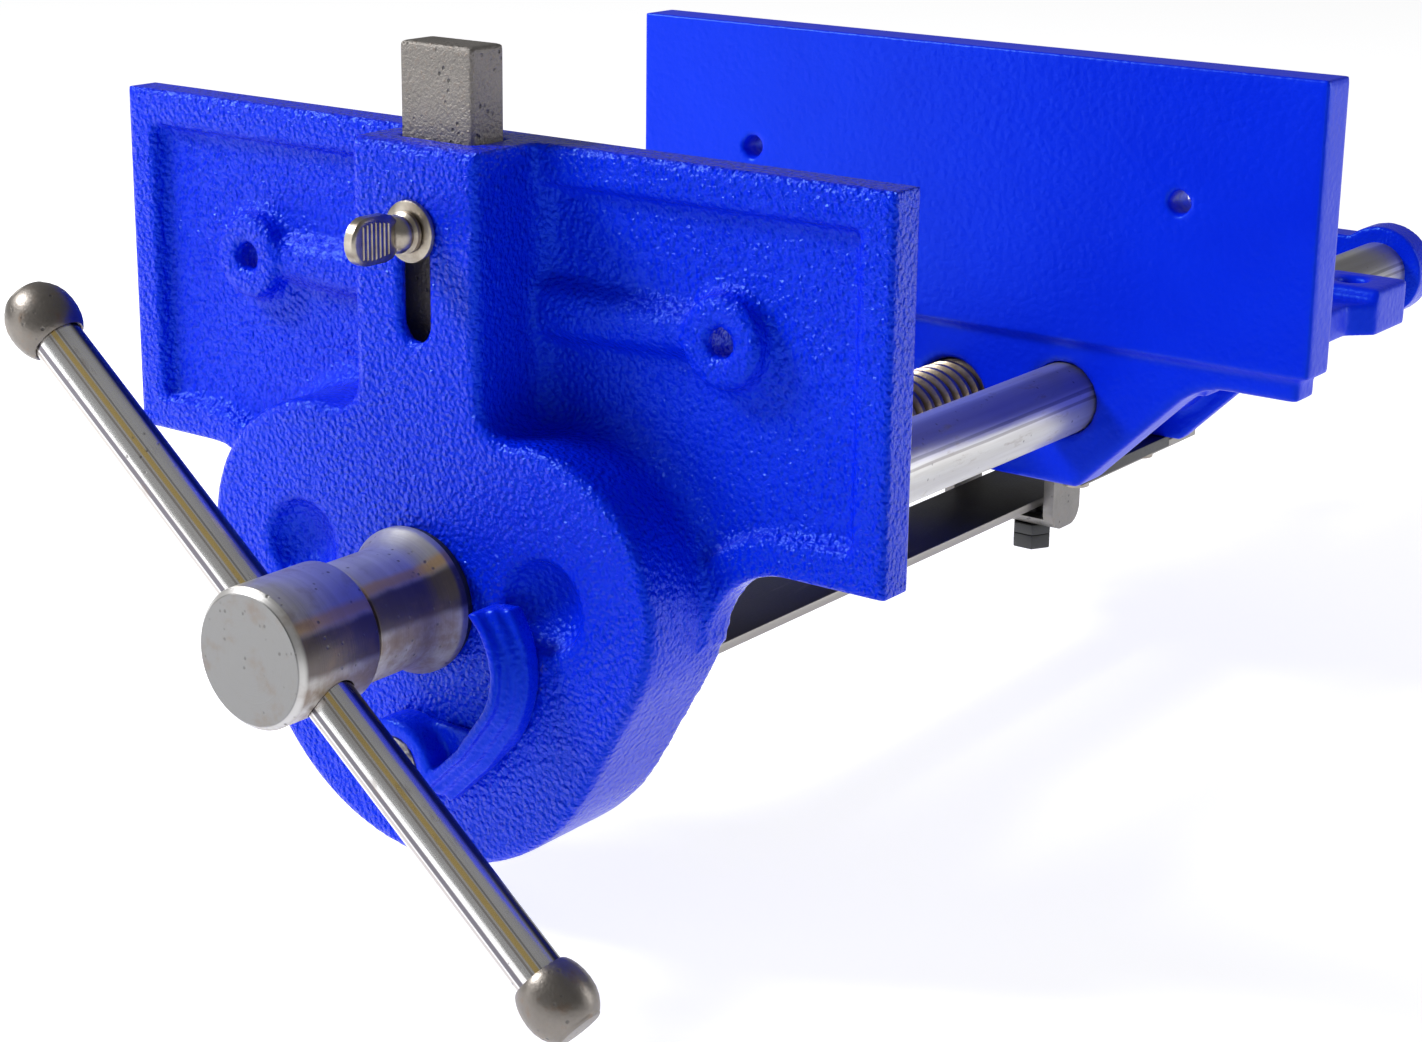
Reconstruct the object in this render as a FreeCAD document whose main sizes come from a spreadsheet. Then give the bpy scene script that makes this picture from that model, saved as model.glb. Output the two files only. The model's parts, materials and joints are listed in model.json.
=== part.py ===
import FreeCAD, Part
import math
import os
import Sketcher

# Quick-release woodworking bench vise: a rear jaw bolted under the bench top, and a front jaw
# that slides on two guide rods, driven by a screw and freed by a trigger that drops a half nut.
# Frame: X along the jaws, +Y from the front jaw to the rear jaw, +Z up.  The origin is the middle
# of the four bench bolt holes, on the plane of the mounting pads (the underside of the bench top).
# Pieces are drawn with Z = 0 at the jaw tops and Y = 0 at their own jaw's working face, and
# Placement then carries the fixed set and the moving set to that origin.

os.makedirs("parts", exist_ok=True)
doc = FreeCAD.newDocument("bench_vise")

# ---------------------------------------------------------------- driving sizes, millimetres
SIZES = {
    # jaws
    "jaw_width": 267.0,
    "front_plate": 11.2,
    "front_height": 102.7,
    "rear_plate": 16.0,
    "rear_height": 96.2,
    "rest_opening": 237.4,
    "max_opening": 330.0,
    "rim_width": 10.0,
    "recess_deep": 4.0,
    "arch_radius": 25.0,
    "arch_start": 104.0,
    # front boss and pillar
    "boss_out": 23.1,
    "boss_low": 200.0,
    "lobe_radius": 42.0,
    "lobe_across": 37.0,
    "flank_angle": 29.2,
    "pillar_width": 44.0,
    "dip_radius": 13.0,
    "dip_deep": 4.0,
    # cheek fixing holes, bosses and ribs
    "front_cheek_across": 167.5,
    "rear_cheek_across": 169.2,
    "cheek_drop": 44.0,
    "cheek_hole": 4.0,
    "cheek_boss": 12.5,
    "cheek_boss_out": 6.5,
    "rib_high": 13.0,
    "rib_out": 4.0,
    # hollows in the back of the boss
    "core_wall": 9.0,
    "core_deep": 24.0,
    "core_below_rod": 26.0,
    "core_past_lobe": 25.0,
    "core_toe_across": 34.0,
    "core_toe_up": 21.0,
    "core_heel_up": 17.0,
    # guide rods and yoke
    "rod_across": 87.4,
    "rod_drop": 117.0,
    "rod_radius": 12.5,
    "rod_socket": 26.0,
    "running_gap": 0.05,
    "yoke_back": 508.8,
    "yoke_thick": 14.0,
    "yoke_round": 19.0,
    "yoke_counterbore": 4.0,
    "yoke_bolt": 5.0,
    "yoke_bolt_head": 8.5,
    "yoke_bolt_deep": 20.0,
    # screw
    "screw_drop": 123.2,
    "screw_radius": 13.0,
    "head_front": 86.4,
    "head_back": 57.8,
    "head_radius": 19.0,
    "head_chamfer": 1.8,
    "neck_radius": 16.8,
    "neck_groove": 15.6,
    "flare_start": 36.5,
    "flare_end": 27.5,
    "collar_radius": 20.4,
    "journal_step": 2.0,
    "tail_radius": 9.0,
    "washer_thick": 2.0,
    "retainer_radius": 21.0,
    "retainer_long": 9.0,
    "retainer_pocket": 12.5,
    "retainer_side_gap": 2.0,
    "retainer_play": 1.5,
    "thread_runout": 3.0,
    "bush_radius": 12.0,
    "end_collar_radius": 14.0,
    "end_collar_long": 9.0,
    "end_collar_play": 0.5,
    "tail_past_collar": 4.0,
    "lock_pin": 2.0,
    # tommy bar
    "bar_radius": 6.8,
    "bar_reach": 115.0,
    "bar_drop_angle": 39.0,
    "ball_radius": 9.8,
    "ball_flat": 8.4,
    # dog
    "dog_width": 25.2,
    "dog_thick": 13.0,
    "dog_rise": 25.0,
    "dog_long": 97.0,
    "dog_gap": 0.3,
    "dog_screw_drop": 22.7,
    "slot_width": 9.7,
    "dog_washer": 8.3,
    "dog_washer_thick": 1.6,
    "thumb_shank": 4.0,
    "thumb_neck": 5.6,
    "thumb_long": 22.0,
    "thumb_tall": 12.6,
    "thumb_thick": 4.6,
    # release trigger and bar
    "trigger_drop": 168.5,
    "trigger_turn": 25.0,
    "trigger_thick": 11.0,
    "trigger_hub": 13.0,
    "trigger_shaft": 8.0,
    "strip_width": 32.0,
    "strip_thick": 3.0,
    "trigger_pin": 1.5,
    "strip_rivet": 2.0,
    "stop_pin": 2.5,
    "strip_end": 404.8,
    "strip_start": 20.0,
    "tongue_width": 12.0,
    # rear body
    "body_set_back": 3.0,
    "apron_drop": 104.7,
    "apron_half": 129.0,
    "body_flat": 51.0,
    "body_deep": 88.0,
    "body_half": 92.0,
    "pad_drop": 94.0,
    "pad_raise": 5.0,
    "flange_thick": 12.0,
    "pad_half": 100.0,
    "pad_inner": 70.0,
    "pad_front": 136.0,
    "pad_back": 163.0,
    "rod_boss": 19.5,
    "rod_boss_back": 122.0,
    "bolt_across": 168.0,
    "bolt_front": 45.0,
    "bolt_back": 149.5,
    "bolt_hole": 5.5,
    # half nut and its stirrup
    "nut_middle": 50.0,
    "nut_long": 40.0,
    "nut_wall": 5.4,
    "nut_under_thread": 5.3,
    "nut_drop": 4.9,
    "nut_clear": 0.8,
    "thread_gap": 0.3,
    "cavity_gap": 3.3,
    "cavity_front": 25.0,
    "stirrup_long": 20.0,
    "stirrup_thick": 4.0,
    "foot_below_trigger": 5.5,
    "arm_screw": 1.75,
    "arm_screw_head": 3.2,
    "arm_screw_bite": 4.4,
    "adjuster_across": 9.0,
    "adjuster_radius": 4.0,
    "adjuster_head": 6.5,
    "plate_thick": 4.0,
    "plate_screw": 2.5,
    "plate_screw_head": 4.6,
    "spring_radius": 4.0,
    "spring_across": 13.0,
    "spring_inset": 7.0,
    "spring_turns": 4.0,
    "spring_wire": 0.8,
    "gap": 0.3,
}


class Dim:
    """A length that keeps its number and the expression that gives it from the sheet."""

    def __init__(self, value, text):
        self.value = float(value)
        self.text = text

    def __add__(self, other):
        other = dim(other)
        return Dim(self.value + other.value, f"({self.text} + {other.text})")

    def __sub__(self, other):
        other = dim(other)
        return Dim(self.value - other.value, f"({self.text} - {other.text})")

    def __mul__(self, other):
        other = dim(other)
        return Dim(self.value * other.value, f"({self.text} * {other.text})")

    def __truediv__(self, other):
        other = dim(other)
        return Dim(self.value / other.value, f"({self.text} / {other.text})")

    def __radd__(self, other):
        return dim(other) + self

    def __rsub__(self, other):
        return dim(other) - self

    def __rmul__(self, other):
        return dim(other) * self

    def __neg__(self):
        return Dim(-self.value, f"(0 - {self.text})")


def dim(value):
    return value if isinstance(value, Dim) else Dim(value, repr(float(value)))


def cosine(angle):
    return Dim(math.cos(math.radians(angle.value)), f"cos({angle.text} * 1 deg)")


def sine(angle):
    return Dim(math.sin(math.radians(angle.value)), f"sin({angle.text} * 1 deg)")


sheet = doc.addObject("Spreadsheet::Sheet", "Sizes")
for row, (alias, number) in enumerate(SIZES.items(), start=1):
    sheet.set(f"A{row}", str(number))
    sheet.setAlias(f"A{row}", alias)
doc.recompute()
v = type("Sizes", (), {alias: Dim(number, f"Sizes.{alias}") for alias, number in SIZES.items()})


# ---------------------------------------------------------------- drawing helpers
PLANES = {"XZ": ("XZ_Plane", -1), "XY": ("XY_Plane", 1), "YZ": ("YZ_Plane", 1)}


def bind(thing, prop, value):
    value = dim(value)
    thing.setExpression(prop, value.text)


def new_body(name):
    return doc.addObject("PartDesign::Body", name)


def new_sketch(body, plane, level, shift=None):
    """A sketch parallel to one of the body's origin planes, at that level along the plane's axis."""
    role, sense = PLANES[plane]
    origin_plane = [one for one in body.Origin.OriginFeatures if one.Role == role][0]
    sketch = body.newObject("Sketcher::SketchObject", body.Name + "_sketch")
    sketch.AttachmentSupport = (origin_plane, "")
    sketch.MapMode = "FlatFace"
    level = dim(level) * sense
    bind(sketch, "AttachmentOffset.Base.z", level)
    if shift:
        bind(sketch, "AttachmentOffset.Base.x", shift[0])
        bind(sketch, "AttachmentOffset.Base.y", shift[1])
    return sketch


def hold(sketch, constraint, value):
    index = sketch.addConstraint(constraint)
    sketch.setExpression(f"Constraints[{index}]", value.text)


def draw_circle(sketch, across, up, radius):
    across, up, radius = dim(across), dim(up), dim(radius)
    centre = FreeCAD.Vector(across.value, up.value, 0)
    circle = sketch.addGeometry(Part.Circle(centre, FreeCAD.Vector(0, 0, 1), radius.value))
    hold(sketch, Sketcher.Constraint("DistanceX", -1, 1, circle, 3, across.value), across)
    hold(sketch, Sketcher.Constraint("DistanceY", -1, 1, circle, 3, up.value), up)
    hold(sketch, Sketcher.Constraint("Radius", circle, radius.value), radius)


def arc_between(start, end, radius):
    """The arc of that radius from start to end, bulging left of the way for a positive radius.

    Sketch arcs run anticlockwise, so an arc that bulges left is drawn from its end to its start."""
    chord = end - start
    left = FreeCAD.Vector(-chord.y, chord.x, 0).normalize()
    reach = math.sqrt(max(radius * radius - chord.Length ** 2 / 4, 0.0))
    bulges_left = radius > 0
    centre = (start + end) * 0.5 + left * (-reach if bulges_left else reach)
    first, last = (end, start) if bulges_left else (start, end)
    angles = [math.atan2(spot.y - centre.y, spot.x - centre.x) for spot in (first, last)]
    arc = Part.ArcOfCircle(Part.Circle(centre, FreeCAD.Vector(0, 0, 1), abs(radius)), *angles)
    return arc, (2, 1) if bulges_left else (1, 2)


def draw_outline(sketch, corners):
    """A closed outline.  A corner is (across, up), or (across, up, radius) to leave by an arc."""
    corners = [tuple(dim(value) for value in corner) for corner in corners]
    spots = [FreeCAD.Vector(corner[0].value, corner[1].value, 0) for corner in corners]
    edges = []
    for number, corner in enumerate(corners):
        start, end = spots[number], spots[(number + 1) % len(spots)]
        if len(corner) == 3:
            arc, ends = arc_between(start, end, corner[2].value)
            edge = sketch.addGeometry(arc)
            radius = corner[2] if corner[2].value > 0 else -corner[2]
            hold(sketch, Sketcher.Constraint("Radius", edge, radius.value), radius)
        else:
            edge = sketch.addGeometry(Part.LineSegment(start, end))
            ends = (1, 2)
        hold(sketch, Sketcher.Constraint("DistanceX", -1, 1, edge, ends[0], corner[0].value), corner[0])
        hold(sketch, Sketcher.Constraint("DistanceY", -1, 1, edge, ends[0], corner[1].value), corner[1])
        edges.append((edge, ends))
    for number, (edge, ends) in enumerate(edges):
        following, following_ends = edges[(number + 1) % len(edges)]
        sketch.addConstraint(Sketcher.Constraint("Coincident", edge, ends[1], following, following_ends[0]))


def rectangle(low_x, low_y, high_x, high_y):
    return [(low_x, low_y), (high_x, low_y), (high_x, high_y), (low_x, high_y)]


def shaped(body, kind, plane, low, high, outlines=(), circles=(), shift=None):
    """One Pad or Pocket between two levels along the plane's axis."""
    low, high = dim(low), dim(high)
    grows_up = PLANES[plane][1] > 0
    adds = kind == "Pad"
    level = low if grows_up == adds else high
    sketch = new_sketch(body, plane, level, shift)
    for outline in outlines:
        draw_outline(sketch, outline)
    for circle in circles:
        draw_circle(sketch, *circle)
    before = body.Shape.Volume if body.Tip else 0.0
    feature = body.newObject("PartDesign::" + kind, body.Name + "_" + kind.lower())
    feature.Profile = sketch
    bind(feature, "Length", high - low)
    feature.Refine = True
    doc.recompute()
    changed = body.Shape.Volume - before
    if changed * (1 if adds else -1) <= 0:
        raise ValueError(f"{feature.Name} changed the volume by {changed}")
    return feature


def pad(body, plane, low, high, **shapes):
    return shaped(body, "Pad", plane, low, high, **shapes)


def pocket(body, plane, low, high, **shapes):
    return shaped(body, "Pocket", plane, low, high, **shapes)


def turned(name, profile, across=0.0, up=0.0):
    """A body turned about a line along Y through (across, up), from corners (along Y, radius)."""
    body = new_body(name)
    sketch = new_sketch(body, "YZ", across, shift=(0.0, up))
    draw_outline(sketch, profile)
    feature = body.newObject("PartDesign::Revolution", name + "_turned")
    feature.Profile = sketch
    feature.ReferenceAxis = (sketch, ["H_Axis"])
    feature.Angle = 360.0
    feature.Refine = True
    doc.recompute()
    return body


def tube(name, low, high, inner, outer, across=0.0, up=0.0):
    return turned(name, rectangle(low, inner, high, outer), across, up)


AXES = {
    "X": FreeCAD.Rotation(FreeCAD.Vector(0, 1, 0), 90),
    "Y": FreeCAD.Rotation(FreeCAD.Vector(1, 0, 0), -90),
    "Z": FreeCAD.Rotation(),
}


SPOTS = {}


def put(thing, spot, rotation=None):
    if rotation:
        thing.Placement = FreeCAD.Placement(FreeCAD.Vector(), rotation)
    SPOTS[thing.Name] = [dim(value) for value in spot]
    for letter, value in zip("xyz", spot):
        bind(thing, "Placement.Base." + letter, value)
    return thing


def rod(name, axis, radius, long, spot):
    thing = doc.addObject("Part::Cylinder", name)
    bind(thing, "Radius", radius)
    bind(thing, "Height", long)
    return put(thing, spot, AXES[axis])


def block(name, low, high):
    thing = doc.addObject("Part::Box", name)
    for prop, start, end in zip(("Length", "Width", "Height"), low, high):
        bind(thing, prop, dim(end) - dim(start))
    return put(thing, low)


def hexagon(name, half_flats, low_z, high_z, across, along):
    thing = doc.addObject("Part::Prism", name)
    thing.Polygon = 6
    bind(thing, "Circumradius", half_flats * (2 / math.sqrt(3)))
    bind(thing, "Height", dim(high_z) - dim(low_z))
    return put(thing, (across, along, low_z))


def joined(name, *things):
    result = doc.addObject("Part::MultiFuse", name)
    result.Shapes = list(things)
    result.Refine = True
    return result


def drilled(name, base, *tools):
    result = doc.addObject("Part::Cut", name)
    result.Base = base
    result.Tool = joined(name + "_tools", *tools) if len(tools) > 1 else tools[0]
    result.Refine = True
    return result


NODES = {}


def node(name, thing, moving):
    """Names a finished piece and carries it from its own jaw's working face to the origin."""
    thing.Label = name
    along = -(v.bolt_front + v.bolt_back) / 2
    if moving:
        along = along - v.rest_opening
    own = SPOTS.get(thing.Name, (0.0, 0.0, 0.0))
    put(thing, (own[0], own[1] + along, own[2] + v.pad_drop))
    NODES[name] = thing
    return thing


# ---------------------------------------------------------------- places worked out once
half = v.jaw_width / 2
screw_up = -v.screw_drop
rod_up = -v.rod_drop
rod_x = v.rod_across / 2
trigger_up = -v.trigger_drop
rim_front = -v.front_plate                      # front of the front jaw's rim
boss_front = rim_front - v.boss_out             # front of the pillar and the boss
recess_floor = rim_front + v.recess_deep
front_cheek_x = v.front_cheek_across / 2
rear_cheek_x = v.rear_cheek_across / 2
cheek_up = -v.cheek_drop
bolt_x = v.bolt_across / 2
flange_up = -(v.pad_drop + v.pad_raise)         # top of the flange, below the pads
journal = v.screw_radius + v.journal_step       # plain bearing of the screw in the boss
nut_low = v.screw_drop + v.screw_radius + v.nut_under_thread
body_low = nut_low + v.nut_drop + v.nut_clear   # underside of the rear body, over its plate
foot_top = v.trigger_drop + v.foot_below_trigger
nut_half = v.screw_radius + v.thread_gap + v.nut_wall
cavity_half = nut_half + v.stirrup_thick + v.cavity_gap


# ---------------------------------------------------------------- front jaw casting
def boss_outline(inset=0.0):
    """Two lobes round the guide rods, straight flanks and a round bottom, drawn in by an inset."""
    lobe = v.lobe_radius - inset
    low = v.boss_low - inset
    lean_x, lean_z = cosine(v.flank_angle), sine(v.flank_angle)
    bottom = (lean_x * v.lobe_across - lean_z * (low - v.rod_drop) + lobe) / (1 - lean_z)
    centre_up = bottom - low
    top = rod_up + lobe
    right = [
        (v.lobe_across, top, lobe),
        (v.lobe_across + lean_x * lobe, rod_up - lean_z * lobe),
        (lean_x * bottom, centre_up - lean_z * bottom, bottom),
    ]
    left = [
        (-(lean_x * bottom), centre_up - lean_z * bottom),
        (-(v.lobe_across + lean_x * lobe), rod_up - lean_z * lobe, lobe),
        (-v.lobe_across, top),
    ]
    return right + left


def plate_outline(edge):
    """The jaw plate with its two arches, drawn in by the width of the rim where asked."""
    arch = v.arch_radius + edge
    low = v.front_height - edge
    arch_low = -(v.front_height + v.arch_radius)
    inner = v.arch_start - arch
    return [
        (half - edge, -edge),
        (half - edge, -low),
        (v.arch_start, -low, -arch),
        (inner, arch_low),
        (-inner, arch_low, -arch),
        (-v.arch_start, -low),
        (-(half - edge), -low),
        (-(half - edge), -edge),
    ]


def front_jaw():
    body = new_body("front_jaw_casting")
    pad(body, "XZ", rim_front, 0.0, outlines=[plate_outline(dim(0.0))])
    pocket(body, "XZ", rim_front, recess_floor, outlines=[plate_outline(v.rim_width)])
    pad(body, "XZ", boss_front, 0.0, outlines=[boss_outline()])
    pillar = v.pillar_width / 2
    pad(body, "XZ", boss_front, 0.0, outlines=[rectangle(-pillar, rod_up, pillar, 0.0)])
    bosses = [(side * front_cheek_x, cheek_up, v.cheek_boss) for side in (-1, 1)]
    pad(body, "XZ", recess_floor - v.cheek_boss_out, recess_floor + 1, circles=bosses)
    rib = v.rib_high / 2
    pad(body, "XZ", recess_floor - v.rib_out, recess_floor + 1,
        outlines=[rectangle(-front_cheek_x, cheek_up - rib, front_cheek_x, cheek_up + rib)])
    deep = recess_floor - v.cheek_boss_out
    pocket(body, "XZ", deep, 0.0, circles=[(side * front_cheek_x, cheek_up, v.cheek_hole) for side in (-1, 1)])
    pocket(body, "XZ", -v.rod_socket, 0.0, circles=[(side * rod_x, rod_up, v.rod_radius) for side in (-1, 1)])
    pocket(body, "XZ", boss_front, 0.0, circles=[(0.0, screw_up, journal + v.running_gap)])
    pocket(body, "XZ", -v.retainer_pocket, 0.0,
           circles=[(0.0, screw_up, v.retainer_radius + v.retainer_side_gap)])
    pocket(body, "XZ", boss_front, 0.0, circles=[(0.0, trigger_up, v.trigger_shaft + v.running_gap)])
    # square hole for the dog, down the middle of the pillar
    dog_back = rim_front - v.dog_gap / 2
    hole = v.dog_width / 2 + v.dog_gap
    deep_end = -(v.dog_long + 1)                # open to the dog's foot when it is down
    pocket(body, "XY", deep_end, 0.0,
           outlines=[rectangle(-hole, dog_back - v.dog_thick - 2 * v.dog_gap, hole, dog_back)])
    # upright slot for the thumb screw, from the pillar's face into that hole
    slot = v.slot_width / 2
    slot_top = -v.dog_screw_drop
    slot_low = slot_top - v.dog_rise - v.dog_gap
    slot_back = dog_back - v.dog_gap - v.dog_thick / 2
    pocket(body, "XZ", boss_front, slot_back, outlines=[rectangle(-slot, slot_low, slot, slot_top)])
    pocket(body, "XZ", boss_front, slot_back, circles=[(0.0, slot_top, slot), (0.0, slot_low, slot)])
    # cored hollows in the back, on both sides of the trigger shaft
    inner = v.trigger_hub + v.core_wall
    outer = v.lobe_across + v.core_past_lobe
    top = -(v.rod_drop + v.core_below_rod)
    toe = -(v.boss_low - v.core_toe_up)
    heel = -(v.boss_low - v.core_heel_up)
    pocket(body, "XZ", -v.core_deep, 0.0, outlines=[
        [(inner, top), (outer, top), (v.core_toe_across, toe), (inner, heel)]])
    pocket(body, "XZ", -v.core_deep, 0.0, outlines=[
        [(-inner, heel), (-v.core_toe_across, toe), (-outer, top), (-inner, top)]])
    dips = []
    for side, word in ((-1, "left"), (1, "right")):
        ball = doc.addObject("Part::Sphere", "dip_" + word)
        bind(ball, "Radius", v.dip_radius)
        put(ball, (side * rod_x, boss_front + v.dip_deep - v.dip_radius, rod_up))
        dips.append(ball)
    return drilled("front_jaw_drilled", body, *dips)


node("front_jaw", front_jaw(), True)


# ---------------------------------------------------------------- rear jaw and body casting
def rear_jaw():
    body = new_body("rear_jaw_casting")
    pad(body, "XZ", 0.0, v.rear_plate, outlines=[rectangle(-half, -v.rear_height, half, 0.0)])
    # apron below the working face, set back, arching into the 45 degree flanks of the body
    turn = v.arch_radius * math.tan(math.radians(22.5))
    arch_end = turn * math.sqrt(0.5)
    corner = v.body_flat + body_low - v.apron_drop
    pad(body, "XZ", v.body_set_back, v.rear_plate, outlines=[[
        (-v.apron_half, 5 - v.rear_height), (v.apron_half, 5 - v.rear_height),
        (v.apron_half, -v.apron_drop), (corner + turn, -v.apron_drop, -v.arch_radius),
        (corner - arch_end, -v.apron_drop - arch_end),
        (v.body_flat, -body_low), (-v.body_flat, -body_low),
        (arch_end - corner, -v.apron_drop - arch_end, -v.arch_radius),
        (-corner - turn, -v.apron_drop), (-v.apron_half, -v.apron_drop)]])
    side_low = v.body_flat + body_low - v.body_half
    pad(body, "XZ", v.rear_plate - 1, v.body_deep, outlines=[[
        (-v.body_half, flange_up), (v.body_half, flange_up), (v.body_half, -side_low),
        (v.body_flat, -body_low), (-v.body_flat, -body_low), (-v.body_half, -side_low)]])
    # flange that carries the mounting pads, forked at the back so that the yoke passes
    inner = v.pad_inner
    pad(body, "XY", flange_up - v.flange_thick, flange_up, outlines=[[
        (-v.body_half, v.rear_plate - 1), (v.body_half, v.rear_plate - 1),
        (v.body_half, v.pad_front - 8), (v.pad_half, v.pad_front), (v.pad_half, v.pad_back),
        (inner, v.pad_back), (inner, v.rod_boss_back), (-inner, v.rod_boss_back), (-inner, v.pad_back),
        (-v.pad_half, v.pad_back), (-v.pad_half, v.pad_front), (-v.body_half, v.pad_front - 8)]])
    front_pad = v.bolt_front - 15
    pads = []
    for side in (-1, 1):
        pads.append(rectangle(*sorted_pair(side * inner, side * v.pad_half, v.pad_front, v.pad_back)))
        pads.append(rectangle(*sorted_pair(side * inner, side * v.body_half, front_pad, front_pad + 30)))
    pad(body, "XY", flange_up - 1, -v.pad_drop, outlines=pads)
    pad(body, "XZ", v.rear_plate - 1, v.rod_boss_back,
        circles=[(side * rod_x, rod_up, v.rod_boss) for side in (-1, 1)])
    # bores for the rods and the screw, and the well for the half nut, open below
    pocket(body, "XZ", 0.0, v.rod_boss_back,
           circles=[(side * rod_x, rod_up, v.rod_radius + v.running_gap) for side in (-1, 1)])
    pocket(body, "XZ", 0.0, v.rod_boss_back, circles=[(0.0, screw_up, v.screw_radius + v.thread_gap)])
    pocket(body, "XZ", v.cavity_front, v.body_deep - 8, outlines=[
        rectangle(-cavity_half, -body_low - 1, cavity_half, screw_up)])
    pocket(body, "XZ", 0.0, v.rear_plate,
           circles=[(side * rear_cheek_x, cheek_up, v.cheek_hole) for side in (-1, 1)])
    pocket(body, "XY", flange_up - v.flange_thick - 40, -v.pad_drop,
           circles=[(side * bolt_x, spot, v.bolt_hole) for side in (-1, 1)
                    for spot in (v.bolt_front, v.bolt_back)])
    return body


def sorted_pair(low_x, high_x, low_y, high_y):
    low_x, high_x = dim(low_x), dim(high_x)
    if low_x.value > high_x.value:
        low_x, high_x = high_x, low_x
    return low_x, low_y, high_x, high_y


node("rear_jaw", rear_jaw(), False)


# ---------------------------------------------------------------- guide rods and yoke
rod_end = v.yoke_back + v.yoke_counterbore
for side, word in ((-1, "left"), (1, "right")):
    guide = turned("guide_rod_turned_" + word, [
        (-v.rod_socket, 0.0), (-v.rod_socket, v.rod_radius - 1), (1 - v.rod_socket, v.rod_radius),
        (rod_end - 1, v.rod_radius), (rod_end, v.rod_radius - 1), (rod_end, v.yoke_bolt),
        (rod_end - v.yoke_bolt_deep, v.yoke_bolt), (rod_end - v.yoke_bolt_deep, 0.0)], side * rod_x, rod_up)
    node("guide_rod_" + word, guide, True)

yoke_end = v.yoke_back + v.yoke_thick


def yoke():
    """A bar with round ends that ties the two rods together and carries the tail of the screw."""
    body = new_body("yoke_casting")
    ends = [(side * rod_x, rod_up, v.yoke_round) for side in (-1, 1)]
    pad(body, "XZ", v.yoke_back, yoke_end, circles=ends)
    low = rod_up - v.yoke_round * 0.72
    high = rod_up + v.yoke_round * 0.72
    pad(body, "XZ", v.yoke_back, yoke_end, outlines=[rectangle(-rod_x, low, rod_x, high)])
    pad(body, "XZ", v.yoke_back, yoke_end, circles=[(0.0, screw_up, v.yoke_round)])
    pocket(body, "XZ", v.yoke_back, yoke_end, circles=[(0.0, screw_up, v.bush_radius)])
    pocket(body, "XZ", v.yoke_back, yoke_end, circles=[
        (side * rod_x, rod_up, v.yoke_bolt + 0.2) for side in (-1, 1)])
    pocket_from_front(body, [(side * rod_x, rod_up, v.rod_radius + v.running_gap) for side in (-1, 1)])
    return body


def pocket_from_front(body, circles):
    """Counterbores in the yoke's front face, which the rods' ends seat in."""
    sketch = new_sketch(body, "XZ", rod_end)
    for circle in circles:
        draw_circle(sketch, *circle)
    feature = body.newObject("PartDesign::Pocket", body.Name + "_counterbore")
    feature.Profile = sketch
    feature.Reversed = True
    bind(feature, "Length", v.yoke_counterbore)
    doc.recompute()


node("yoke", yoke(), True)
node("yoke_bush", tube("yoke_bush_turned", v.yoke_back, yoke_end, v.tail_radius + v.running_gap, v.bush_radius,
                       0.0, screw_up), True)

washer_end = yoke_end + v.washer_thick
bolts = []
washers = []
for side, word in ((-1, "left"), (1, "right")):
    bolts.append(turned("yoke_bolt_turned_" + word, [
        (rod_end - v.yoke_bolt_deep + 1, 0.0), (rod_end - v.yoke_bolt_deep + 1, v.yoke_bolt - v.running_gap),
        (washer_end, v.yoke_bolt - v.running_gap), (washer_end, v.yoke_bolt_head),
        (washer_end + 5.4, v.yoke_bolt_head), (washer_end + 6.4, v.yoke_bolt_head - 1),
        (washer_end + 6.4, 3.0), (washer_end + 2.4, 3.0), (washer_end + 2.4, 0.0)], side * rod_x, rod_up))
    washers.append(tube("yoke_washer_turned_" + word, yoke_end, washer_end, v.yoke_bolt + 0.3,
                        v.yoke_bolt_head + 2.0, side * rod_x, rod_up))
node("yoke_bolts", joined("yoke_bolt_pair", *bolts), True)
node("yoke_washers", joined("yoke_washer_pair", *washers), True)


# ---------------------------------------------------------------- screw, its collars and pins
def along(out):
    """A distance in front of the rim's front plane, as a place along Y."""
    return rim_front - out


retainer_end = v.retainer_play - v.retainer_pocket + v.retainer_long
thread_start = retainer_end + v.thread_runout
head_front = along(v.head_front)
collar_back = boss_front - v.washer_thick - v.gap
tail_end = yoke_end + v.end_collar_long + v.tail_past_collar
bar_along = along((v.head_front + v.head_back) / 2)
screw_body = turned("screw_turned", [
    (head_front, 0.0), (head_front, v.head_radius - v.head_chamfer),
    (head_front + v.head_chamfer, v.head_radius), (along(v.head_back) - 1.4, v.head_radius),
    (along(v.head_back), v.head_radius - 1.2), (along(v.head_back), v.neck_groove),
    (along(v.head_back) + 1.6, v.neck_groove), (along(v.head_back) + 2.6, v.neck_radius),
    (along(v.flare_start), v.neck_radius), (along(v.flare_end), v.collar_radius),
    (collar_back, v.collar_radius), (collar_back, journal),
    (thread_start - 1.0, journal), (thread_start - 1.0, v.screw_radius - 1.5),
    (thread_start, v.screw_radius), (v.yoke_back - 8.0, v.screw_radius),
    (v.yoke_back - 6.0, v.tail_radius), (tail_end, v.tail_radius), (tail_end, 0.0)], 0.0, screw_up)
bar_hole = rod("tommy_bar_hole", "X", v.bar_radius + 0.25, 4 * v.head_radius, (0, 0, 0))
turn_bar = FreeCAD.Rotation(FreeCAD.Vector(0, 1, 0), 90 + v.bar_drop_angle.value)


def lay_along_bar(thing, start):
    """Lays a piece drawn up its own Z axis along the tommy bar, starting that far along the bar."""
    thing.Placement = FreeCAD.Placement(FreeCAD.Vector(), turn_bar)
    thing.setExpression("Placement.Rotation.Angle", f"(90 + {v.bar_drop_angle.text}) * 1 deg")
    return put(thing, (dim(start) * cosine(v.bar_drop_angle), bar_along,
                       screw_up - dim(start) * sine(v.bar_drop_angle)))


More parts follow.
